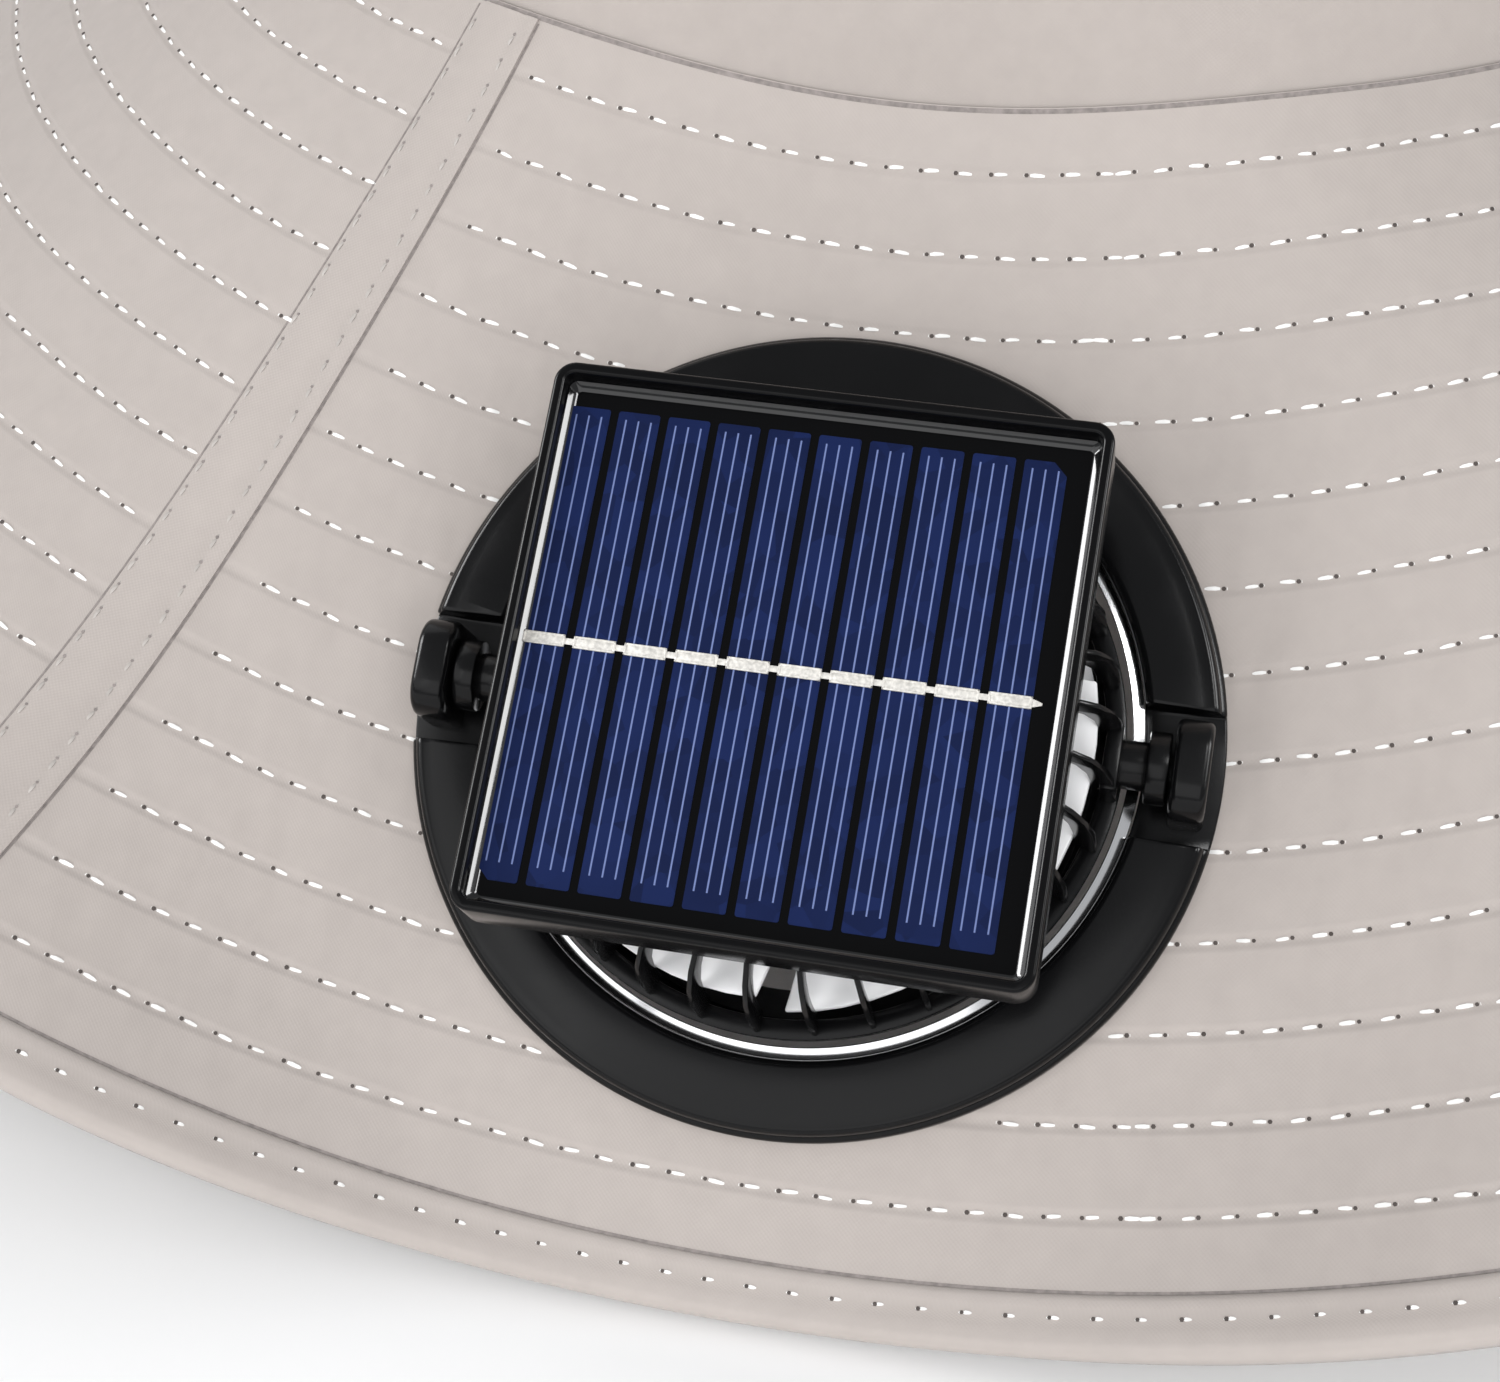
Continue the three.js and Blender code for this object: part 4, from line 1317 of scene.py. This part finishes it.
    def build_folds(self) -> None:
        """The painted shadow lines at the crown's foot, along the hem and on both sides of each strip."""
        face = self.surface
        angle = self.angles(self.columns)
        inner = face.width - self.hem_width - 0.12
        lines = [
            self.fold(np.full(angle.shape, 0.35), angle, 0.5, True),
            self.fold(np.full(angle.shape, inner), angle, self.fold_width, True),
        ]
        slants = np.linspace(1.0, inner, 60)
        for start in self.strip_angles:
            radius = face.radius_at(slants, start)
            for across, share in ((0.12, 1.0), (-self.strip_width - 0.1, 0.6)):
                place = start + across / radius
                lines.append(self.fold(slants, place, share * self.fold_width, False))
        # One mesh of painted shadow along every fold.
        folds = mesh_object("fold_lines", lines[0].joined(*lines[1:]), FOLD_SHADOW)
        finish_piece(folds, Body.HAT)

    def build_hem_stitches(self) -> None:
        """The row of thread along the hem."""
        face = self.surface
        slant = face.width - self.hem_row
        angle = self.row_points(slant, self.hem_pitch)
        s = np.full(angle.shape, slant)
        _, around, normal = face.frame_at(s, angle)
        turns = euler_turns(around, normal)
        top = face.point(s, angle, self.hem_lift - 0.15)
        both = np.concatenate([top, face.point(s, angle, -face.wall - 0.5)]), np.concatenate([turns, turns])
        loop = self.stitch(*self.hem_stitch)
        self.sew("hem_stitches", both, loop, WHITE_THREAD, (0.1, 4), 11)
        pit = self.hole(self.hem_hole)
        # Dark studs of painted shade stand for the hem's needle holes.
        self.sew("hem_needle_holes", (top, turns), pit, NEEDLE_HOLE_SHADE, (0.1, 0), 12)

    def build_strip_stitches(self) -> None:
        """The two rows of tone-on-tone thread on each joining strip."""
        face = self.surface
        points, turns = [], []
        slants = np.arange(3.0, face.width - self.hem_width - 1, self.strip_pitch)
        for start in self.strip_angles:
            for across, share in ((1.9, 0.55), (self.strip_width - 0.6, 0.35)):
                angle = start - across / face.radius_at(slants, start)
                out, _, normal = face.frame_at(slants, angle)
                points.append(face.point(slants, angle, share * self.strip_lift + 0.04))
                turns.append(euler_turns(out, normal))
        rows = np.concatenate(points), np.concatenate(turns)
        loop = self.stitch(*self.strip_stitch)
        self.sew("strip_stitches", rows, loop, GREY_THREAD, (0.1, 4), 13)
        pit = self.hole(self.strip_hole)
        # Studs of painted shade, in the lighter fold colour, stand for the strip's needle holes.
        self.sew("strip_needle_holes", rows, pit, FOLD_SHADOW, (0.1, 0), 14)

    def build_crown_stitches(self) -> None:
        """The rows of thread round the top of the crown."""
        centre = np.array([0.0, self.surface.offset[1], 0.0])
        base, row = self.crown_base, self.crown_row
        points, turns = [], []
        for radius, height, lean in (
            (self.crown_top_radius * row, base + 2.15 + self.crown_dome * (1 - row ** 2), 10 * DEGREE),
            (self.crown_top_radius + 0.5, base - 2.6, 82 * DEGREE),
        ):
            count = round(TURN * radius / self.stitch_pitch)
            ring = np.pad(circle(1.0, count), ((0, 0), (0, 1)))
            around = np.cross([0, 0, 1], ring)
            normal = ring * math.sin(lean) + np.array([0, 0, math.cos(lean)])
            points.append(ring * radius + np.array([0, 0, height]) + centre)
            turns.append(euler_turns(around, normal))
        rows = np.concatenate(points), np.concatenate(turns)
        self.sew("crown_stitches", rows, self.stitch(*self.crown_stitch), GREY_THREAD, (0.1, 4), 17)

    def build(self) -> None:
        """Makes every sewn piece."""
        self.build_brim()
        self.build_hem()
        for side, angle in zip(("left", "right"), self.strip_angles):
            self.build_strip(f"strip_{side}_cloth", angle, f"brim_seam_{side}")
        self.build_crown()
        self.build_folds()
        self.build_stitches()


@dataclass
class FanMount:
    """The bezel, its polished trim and the ring that clamps it under the cloth."""

    radius: float = 40.0
    lip_radius: float = 32.3
    height: float = 4.6
    collar_radius: float = 35.2
    collar_depth: float = 5.4
    notch_width: float = 13.0
    notch_floor: float = 1.6
    ear_width: float = 9.7
    ear_inside: float = 35.0
    ear_outside: float = 38.5
    ear_top: float = 10.4
    ear_corner: float = 3.2
    clamp_inner: float = 35.5
    clamp_outer: float = 38.8
    clamp_top: float = -2.7
    clamp_height: float = 1.8

    def build_bezel(self) -> None:
        """The black ring with its notches and ears."""
        r, lip, top = self.radius, self.lip_radius, self.height
        # Radius and height, from the rounded lip over the bead and the foot to the collar.
        profile = [
            (lip, top - 0.75), (lip + 0.15, top - 0.35), (lip + 0.5, top - 0.08), (lip + 0.9, top),
            (r - 2.4, top - 0.45), (r - 1.6, top - 0.62), (r - 1.35, top - 0.6), (r - 1.1, top - 0.62),
            (r - 0.8, top - 0.85), (r - 0.6, top - 1.3), (r - 0.5, top - 1.9), (r - 0.2, top - 2.1),
            (r, top - 2.4), (r, 0.45), (r - 0.15, 0.2),
            (self.collar_radius, 0.2), (self.collar_radius, -self.collar_depth),
            (self.collar_radius - 1.8, -self.collar_depth), (self.collar_radius - 1.8, -0.6), (lip, 0.6),
        ]
        obj = mesh_object("bezel_ring", Shape.lathe(profile, RING_FACETS).moved(PLACE.ring), SATIN_BLACK)
        half = self.notch_width / 2
        deep = (self.notch_floor, top + 2)
        notches = [slab((side * (lip - 1), side * (r + 1)), (-half, half), deep) for side in (-1, 1)]
        cut_away(obj, [notch.moved(PLACE.ring) for notch in notches])
        bevelled(obj, 0.22, segments=2, angle=50)
        finish_piece(obj, Body.HAT, ["fan_bezel"])
        ears = [self.ear(side) for side in (-1, 1)]
        pair = mesh_object("bezel_ears", ears[0].joined(ears[1]).moved(PLACE.ring), SATIN_BLACK)
        bevelled(pair, 0.7, segments=4)
        finish_piece(pair, Body.HAT)

    def ear(self, side: int) -> Shape:
        """One upright ear, seated in its notch.

        Args:
            side: Minus one for the ear at -X, one for the ear at +X.

        Returns:
            The closed shape in the bezel's frame.
        """
        half = self.ear_width / 2
        low = self.notch_floor - 0.8
        corner = self.ear_corner
        outline = [(-half, low), (half, low)]
        for centre, start in ((half - corner, 0.0), (-(half - corner), math.pi / 2)):
            for step in range(9):
                angle = start + step * math.pi / 16
                height = self.ear_top - corner + corner * math.sin(angle)
                outline.append((centre + corner * math.cos(angle), height))
        return prism(outline, (side * self.ear_inside, side * self.ear_outside), axis=0)

    def build_rings(self) -> None:
        """The polished trim and the clamping ring."""
        outer = self.lip_radius - 0.1
        inner = outer - 1.15
        profile = [
            (outer, 1.9), (outer, 2.9), (outer - 0.04, 3.0), (inner + 0.1, 3.34), (inner, 3.28),
            (inner, 3.0), (inner + 0.5, 1.9),
        ]
        ring = Shape.lathe(profile, RING_FACETS).moved(PLACE.ring)
        trim = mesh_object("trim_polished", ring, BRIGHT_TRIM, crease=15)
        finish_piece(trim, Body.HAT, ["trim_ring"])
        top, low = self.clamp_top, self.clamp_top - self.clamp_height
        inner, outer = self.clamp_inner, self.clamp_outer
        profile = [
            (inner, top), (outer - 0.5, top), (outer, top - 0.5), (outer, low + 0.5), (outer - 0.5, low),
            (inner + 0.5, low), (inner, low + 0.4),
        ]
        clamp = mesh_object("clamp_ring", Shape.lathe(profile, SHELL_FACETS).moved(PLACE.ring), SATIN_BLACK)
        finish_piece(clamp, Body.HAT, ["bezel_back_ring"])

    def build(self) -> None:
        """Makes the fixed pieces of the fan."""
        self.build_bezel()
        self.build_rings()


@dataclass
class FanHead:
    """The ball of ribs, its bowl, the motor and the rotor."""

    ball: float = 30.6
    rim_top: float = -2.2
    rim_height: float = 1.6
    rim_wall: float = 2.0
    rib_count: int = 34
    rib_wall: float = 0.55
    cage_top: float = 13.0
    cap_radius: float = 11.0
    lug_half: float = 3.3
    lug_top: float = 2.65
    neck_radius: float = 2.35  # the pivot is a neck, a collar and a pin that turns in the ear
    collar_radius: float = 3.5
    pin_radius: float = 1.4
    neck_end: float = 32.8
    collar_reach: Pair = (32.6, 34.7)
    pin_reach: Pair = (34.5, 37.5)
    drum_bottom: float = -11.0
    spoke_count: int = 6
    blade_count: int = 7
    blade_root: float = 9.2
    blade_wall: float = 1.1
    blade_pitch: float = 3.45  # half of a blade's rise from its lower to its upper edge
    blade_camber: float = 0.25
    blade_lean: float = 0.18  # angle by which the tip lags behind the root
    root_chord: float = 9.0
    tip_chord: float = 23.0
    rotor_radius: float = 27.8
    rotor_bottom: float = -3.4
    hub_radius: float = 10.0
    hub_height: float = 5.0
    motor_radius: float = 8.5

    def at(self, height: float) -> float:
        """Radius of the head's ball at a height."""
        return math.sqrt(self.ball ** 2 - height ** 2)

    def rib(self) -> Shape:
        """One rib, its run along X and its thickness along Y."""
        rim = self.at(self.rim_top) - 0.4
        # The rib stands up from the rim and bends in over the rotor to the cap.
        outer = [
            (rim, self.rim_top - 0.3), (rim, 1.5), (rim - 0.15, 4.4), (rim - 0.8, 7.4), (rim - 2.2, 9.8),
            (rim - 4.6, 11.5), (rim - 8.0, 12.4), (rim - 12.0, 12.8), (10.0, 12.9),
        ]
        inner = [
            (10.0, 11.2), (rim - 11.5, 11.0), (rim - 8.4, 10.4), (rim - 5.6, 9.2), (rim - 3.7, 7.6),
            (rim - 2.7, 5.4), (rim - 2.3, 2.6), (rim - 2.2, 0.2), (rim - 2.2, self.rim_top - 0.3),
        ]
        half = self.rib_wall / 2
        return prism(outer + inner, (-half, half), axis=1)

    def spaced(self, count: int, start: float) -> tuple[np.ndarray, np.ndarray]:
        """Equal steps once round the head's axis.

        Args:
            count: How many.
            start: Where the first one stands, in steps.

        Returns:
            Points and Euler angles.
        """
        angle = (np.arange(count) + start) * TURN / count
        place = PLACE.head
        points = np.repeat(np.array([place.translation]), count, 0)
        return points, np.array([(place @ Matrix.Rotation(a, 4, "Z")).to_euler() for a in angle])

    def build_cage(self) -> None:
        """The grille: rim, ribs, cap and pivots."""
        where = self.spaced(self.rib_count, 0.5)
        ribs = Repeater().run("grille_ribs", *where, self.rib(), SATIN_BLACK)
        bevelled(ribs, 0.18, segments=2, angle=60)
        finish_piece(ribs, Body.HEAD, ["fan_grille"])
        outer = self.at(self.rim_top)
        low = self.rim_top - self.rim_height
        rim = Shape.lathe([
            (outer, self.rim_top), (self.at(low), low), (outer - self.rim_wall, low),
            (outer - self.rim_wall, self.rim_top),
        ], RIM_FACETS)
        parts = rim.joined(bar(self.cap_radius, (self.cage_top - 2, self.cage_top), SMALL_FACETS))
        across = (-self.lug_half, self.lug_half)
        for side in (-1, 1):
            along = (side * (outer - self.rim_wall), side * (outer - 0.4))
            parts = parts.joined(
                slab(along, across, (low, self.lug_top)),
                rod(self.neck_radius, (side * (outer - 1.6), side * self.neck_end)),
                rod(self.collar_radius, (side * self.collar_reach[0], side * self.collar_reach[1])),
                rod(self.pin_radius, (side * self.pin_reach[0], side * self.pin_reach[1])),
            )
        frame_obj = mesh_object("grille_frame", parts.moved(PLACE.head), SATIN_BLACK)
        bevelled(frame_obj, 0.25, segments=2)
        finish_piece(frame_obj, Body.HEAD)

    def build_drum(self) -> None:
        """The bowl behind the rotor, with its guard."""
        top = self.rim_top - self.rim_height - 0.15
        low = self.drum_bottom
        inside = low + 1.5
        back = (low, inside)
        wall = 1.6
        heights = np.linspace(top, low, 8)
        opening = self.at(low) - 4.0
        profile = [(self.at(z), z) for z in heights] + [(opening, low), (opening, inside)]
        profile.append((self.at(inside) - wall, inside))
        profile += [(self.at(z) - wall, z) for z in heights[::-1] if z > low + wall]
        shape = Shape.lathe(profile, SHELL_FACETS).joined(bar(10.0, back, SMALL_FACETS))
        spoke = slab((9.0, opening + 1), (-1.2, 1.2), back)
        for number in range(self.spoke_count):
            turn = Matrix.Rotation(number * TURN / self.spoke_count, 4, "Z")
            shape = shape.joined(spoke.moved(turn))
        obj = mesh_object("drum_bowl", shape.moved(PLACE.head), SATIN_BLACK)
        bevelled(obj, 0.25, segments=2)
        finish_piece(obj, Body.HEAD, ["fan_drum"])

    def blade(self) -> Shape:
        """One pitched blade along X."""
        root = self.blade_root
        sections = []
        for share in np.linspace(0, 1, 12):
            radius = root + share * (self.rotor_radius - root)
            sweep = (self.root_chord + share * (self.tip_chord - self.root_chord)) / 2 / radius
            lean = self.blade_lean * share
            row = []
            outline = [(across, 0.0) for across in np.linspace(-1, 1, 9)]
            outline += [(across, self.blade_wall) for across in np.linspace(1, -1, 9)]
            for across, up in outline:
                turn = across * sweep - lean
                height = self.rotor_bottom + self.blade_pitch * (1 + across) + up
                height += self.blade_camber * (1 - across * across)
                row.append((radius * math.cos(turn), radius * math.sin(turn), height))
            sections.append(row)
        return Shape.loft(np.array(sections), False)

    def build_rotor(self) -> None:
        """The white blades and hub."""
        where = self.spaced(self.blade_count, 0)
        blades = Repeater().run("rotor_blades", *where, self.blade(), WHITE_PLASTIC)
        bevelled(blades, 0.25, segments=2, angle=50)
        finish_piece(blades, Body.ROTOR, ["fan_rotor"])
        bottom = self.rotor_bottom
        hub_shape = bar(self.hub_radius, (bottom, bottom + self.hub_height), ROUND_FACETS)
        hub = mesh_object("rotor_hub", hub_shape.moved(PLACE.head), WHITE_PLASTIC)
        bevelled(hub, 0.8, segments=4)
        finish_piece(hub, Body.ROTOR)

    def build_motor(self) -> None:
        """The can of the motor, under the cage's cap."""
        bottom = self.rotor_bottom + self.hub_height + 0.3
        shape = bar(self.motor_radius, (bottom, self.cage_top - 2.3), ROUND_FACETS)
        can = mesh_object("motor_can", shape.moved(PLACE.head), MOTOR_STEEL)
        bevelled(can, 0.8, segments=4)
        finish_piece(can, Body.HEAD, ["fan_motor"])

    def build(self) -> None:
        """Makes the pieces of the head."""
        self.build_cage()
        self.build_drum()
        self.build_rotor()
        self.build_motor()


@dataclass
class SolarPanel:
    """The tray, its dark resin, ten cells and the ribbon that joins them."""

    width: float = 52.4
    length: float = 52.7
    top: float = 19.5
    tray_height: float = 6.0
    wall: float = 1.1
    floor: float = 1.3
    corner: float = 2.0
    cell_count: int = 10
    side_margin: float = 2.7
    end_margin: float = 3.45
    cell_gap: float = 0.8
    cell_shift: float = -1.3  # the cells sit a little to the left in their tray
    cell_height: float = 16.9
    cell_wall: float = 0.5
    corner_cut: float = 0.9  # off the outer corner of the first and the last cell
    resin_rise: float = 0.55  # how far the resin climbs the tray's wall
    resin_climb: float = 0.8  # width of that climb
    tab_width: float = 1.15
    tab_lift: float = 0.16
    border: float = 0.22  # raised edge of a tab
    border_lift: float = 0.24
    link_half: float = 0.3
    link_lift: float = 0.12

    @property
    def cells_wide(self) -> float:
        """Width of the row of cells."""
        return self.width - 2 * self.side_margin

    @property
    def cells_long(self) -> float:
        """Length of the cells."""
        return self.length - 2 * self.end_margin

    @property
    def pitch(self) -> float:
        """From cell to cell."""
        return (self.cells_wide + self.cell_gap) / self.cell_count

    def build_tray(self) -> None:
        """The black tray."""
        bottom = self.top - self.tray_height
        outside = plate(self.width, self.length, self.corner, (bottom, self.top), 10)
        obj = mesh_object("panel_tray", outside.moved(PLACE.head), GLOSS_BLACK)
        inside = plate(
            self.width - 2 * self.wall, self.length - 2 * self.wall, self.corner - self.wall,
            (bottom + self.floor, self.top + 1), 10,
        )
        cut_away(obj, [inside.moved(PLACE.head)])
        bevelled(obj, 0.35, segments=4)
        finish_piece(obj, Body.HEAD, ["solar_tray", "solar_board"])

    def resin_outline(self, away: float, corner: float, height: float) -> list[tuple]:
        """The points of a rounded rectangle inside the tray.

        Args:
            away: How far it stays from the tray's wall.
            corner: Radius of its corners.
            height: Its height.

        Returns:
            The points.
        """
        inset = 2 * (self.wall + 0.02 + away)
        return [
            (x, y, height)
            for x, y in rounded_outline(self.width - inset, self.length - inset, corner, 8)
        ]

    def build_resin(self) -> None:
        """The dark resin that rises from the cells to the tray's wall."""
        low = self.top - self.tray_height + self.floor
        level = self.cell_height - 0.1
        climb = self.resin_climb
        flat = np.array([self.resin_outline(climb - 0.1, 0.4, height) for height in (low, level)])
        bed = mesh_object("panel_resin", Shape.loft(flat, False).moved(PLACE.head), POTTING)
        finish_piece(bed, Body.HEAD, ["solar_resin"])
        outline = []
        for share in np.linspace(0, 1, 9):
            height = level + 0.01 + self.resin_rise * share ** 1.35
            outline.append(self.resin_outline(climb * (1 - share), 0.4 + 0.4 * share, height))
        outline.append(self.resin_outline(0.0, 0.8, low))
        outline.append(self.resin_outline(climb, 0.4, low))
        shape = Shape.loft(np.array(outline), True).moved(PLACE.head)
        edge = mesh_object("panel_resin_edge", shape, POTTING_EDGE, crease=50)
        finish_piece(edge, Body.HEAD)

    def build_cells(self) -> None:
        """The ten blue cells."""
        width = self.pitch - self.cell_gap
        heights = (self.cell_height - self.cell_wall, self.cell_height)
        for number in range(self.cell_count):
            x = (number - (self.cell_count - 1) / 2) * self.pitch + self.cell_shift
            shape = plate(width, self.cells_long, 0.25, heights, 3)
            name = f"solar_cell_{number + 1:02d}"
            place = PLACE.head @ Matrix.Translation((x, 0, 0))
            obj = mesh_object(f"cell_{number + 1:02d}", shape.moved(place), CELL)
            if number in (0, self.cell_count - 1):
                side = 1 if number else -1
                corner = Matrix.Translation((side * width / 2, side * self.cells_long / 2, self.cell_height))
                cut = (-self.corner_cut, self.corner_cut)
                clip = slab(cut, cut, (-1, 1))
                cut_away(obj, [clip.moved(place @ corner @ Matrix.Rotation(math.pi / 4, 4, "Z"))])
            layer = obj.data.uv_layers.new(name="cell")
            inverse = place.inverted()
            for loop in obj.data.loops:
                local = inverse @ (obj.data.vertices[loop.vertex_index].co / MM)
                layer.data[loop.index].uv = (local.x, local.y)
            finish_piece(obj, Body.HEAD, [name])

    def build_ribbon(self) -> None:
        """The tinned tabs on the cells and the narrow links between them."""
        base = self.cell_height
        end = self.cells_wide / 2
        link = (-self.link_half, self.link_half)
        parts = slab((-end + 0.3, end - 0.3), link, (base, base + self.link_lift))
        reach = (self.pitch - self.cell_gap) / 2
        half = self.tab_width / 2
        border = self.border
        raised_edge = (base, base + self.border_lift)
        for number in range(self.cell_count):
            x = (number - (self.cell_count - 1) / 2) * self.pitch
            across, along = (x - reach, x + reach), (-half, half)
            parts = parts.joined(
                slab(across, along, (base, base + self.tab_lift)),
                slab(across, (half - border, half), raised_edge),
                slab(across, (-half, -half + border), raised_edge),
                slab((x - reach, x - reach + border), along, raised_edge),
                slab((x + reach - border, x + reach), along, raised_edge),
            )
        # The last tab ends in a short point.
        tail = [[(end, y, z) for y, z in ((-0.4, 0), (0.4, 0), (0.4, 0.2), (-0.4, 0.2))]]
        tail.append([(end + 0.9, y, z) for y, z in ((-0.12, 0), (0.12, 0), (0.12, 0.1), (-0.12, 0.1))])
        parts = parts.joined(Shape.loft(np.array(tail) + np.array([0, 0, base]), False))
        shift = Matrix.Translation((self.cell_shift, 0, 0))
        obj = mesh_object("cell_tabs", parts.moved(PLACE.head @ shift), SOLDER)
        bevelled(obj, 0.05, segments=2)
        finish_piece(obj, Body.HEAD, ["cell_ribbon"])

    def build(self) -> None:
        """Makes the pieces of the panel."""
        self.build_tray()
        self.build_resin()
        self.build_cells()
        self.build_ribbon()


@dataclass(frozen=True)
class SoftBox:
    """A large square lamp. A sheen lamp is seen by glossy surfaces alone."""

    name: str
    place: tuple[float, float, float]
    size: float
    power: float
    sheen: bool = False
    shine: bool = True  # seen by glossy surfaces

    def build(self, aim: Vector) -> None:
        """Hangs the lamp and turns it.

        Args:
            aim: The point that it faces.
        """
        lamp = bpy.data.lights.new(self.name, "AREA")
        lamp.shape = "SQUARE"
        lamp.size = self.size
        lamp.energy = self.power
        obj = bpy.data.objects.new(self.name, lamp)
        obj.location = self.place
        obj.rotation_euler = (aim - Vector(self.place)).to_track_quat("-Z", "Y").to_euler()
        obj.visible_diffuse = not self.sheen
        obj.visible_glossy = self.shine
        bpy.context.scene.collection.objects.link(obj)


@dataclass
class Studio:
    """Floor, lamps and camera."""

    camera_place: tuple[float, float, float] = (37.21, -344.99, 109.43)
    right: tuple[float, float, float] = (0.977116, 0.212564, 0.007795)
    down: tuple[float, float, float] = (0.131751, -0.576052, -0.806725)
    forward: tuple[float, float, float] = (-0.166991, 0.789291, -0.590875)
    lens: float = 64.17
    floor_half: float = 3.0  # metres
    world_colour: str = "#F2F4F7"
    world_strength: float = 0.52
    aim: tuple[float, float, float] = (0.0, -0.12, 0.06)
    lamps: tuple[SoftBox, ...] = (
        SoftBox("key_behind_left", (-0.9, 0.9, 1.5), 1.2, 4),
        SoftBox("side_right", (1.5, -0.1, 0.9), 1.1, 2),
        SoftBox("front_right", (0.55, -1.35, 0.8), 1.2, 18, shine=False),
        SoftBox("front_low_left", (-0.9, -1.5, 0.55), 0.9, 11, shine=False),
        SoftBox("side_left", (-1.5, -0.2, 0.8), 1.1, 6),
        SoftBox("edge_left", (-1.02, -0.25, 0.72), 0.5, 15, sheen=True),
        SoftBox("edge_front_left", (-0.85, -1.05, 0.75), 0.9, 3.2, sheen=True),
        SoftBox("edge_front", (-0.05, -1.4, 0.72), 1.1, 4.6, sheen=True),
        SoftBox("corner_right", (0.62, -0.53, 1.12), 0.3, 4, sheen=True),
        SoftBox("edge_right", (1.25, -0.1, 0.75), 0.5, 11, sheen=True),
    )

    def build_floor(self) -> None:
        """A pale floor under the hat."""
        mesh = bpy.data.meshes.new("floor")
        half = self.floor_half
        corners = [(-half, -half, 0), (half, -half, 0), (half, half, 0), (-half, half, 0)]
        mesh.from_pydata(corners, [], [(0, 1, 2, 3)])
        mesh.materials.append(FLOOR_PAINT.build())
        obj = bpy.data.objects.new("floor", mesh)
        bpy.context.scene.collection.objects.link(obj)

    def build_camera(self, offset: np.ndarray) -> None:
        """The camera at the photograph's place.

        Args:
            offset: Where the middle of the crown's foot lies, in millimetres.
        """
        data = bpy.data.cameras.new("camera")
        data.sensor_width = 36.0
        data.lens = self.lens
        data.clip_start = 0.01
        obj = bpy.data.objects.new("camera", data)
        columns = (Vector(self.right), -Vector(self.down), -Vector(self.forward))
        turn = Matrix(columns).transposed().to_4x4()
        place = (Vector(self.camera_place) + Vector(offset)) * MM
        obj.matrix_world = Matrix.Translation(place) @ turn
        bpy.context.scene.collection.objects.link(obj)
        bpy.context.scene.camera = obj

    def build(self, offset: np.ndarray) -> None:
        """Sets up the studio.

        Args:
            offset: Where the middle of the crown's foot lies, in millimetres.
        """
        scene = bpy.context.scene
        scene.view_settings.view_transform = "Standard"
        world = bpy.data.worlds.new("studio")
        world.use_nodes = True
        world.node_tree.nodes.clear()
        glow = add(world.node_tree, "ShaderNodeBackground", {
            "Color": linear(self.world_colour), "Strength": self.world_strength,
        })
        add(world.node_tree, "ShaderNodeOutputWorld", {"Surface": glow.outputs[0]})
        scene.world = world
        for lamp in self.lamps:
            lamp.build(Vector(self.aim))
        self.build_floor()
        self.build_camera(offset)


def main() -> None:
    """Builds every piece in order."""
    logging.basicConfig(level=logging.INFO, format="%(message)s")
    hat = ClothHat()
    hat.build()
    for assembly in (FanMount(), FanHead(), SolarPanel()):
        assembly.build()
    Studio().build(hat.surface.offset)


if __name__ == "__main__":
    main()
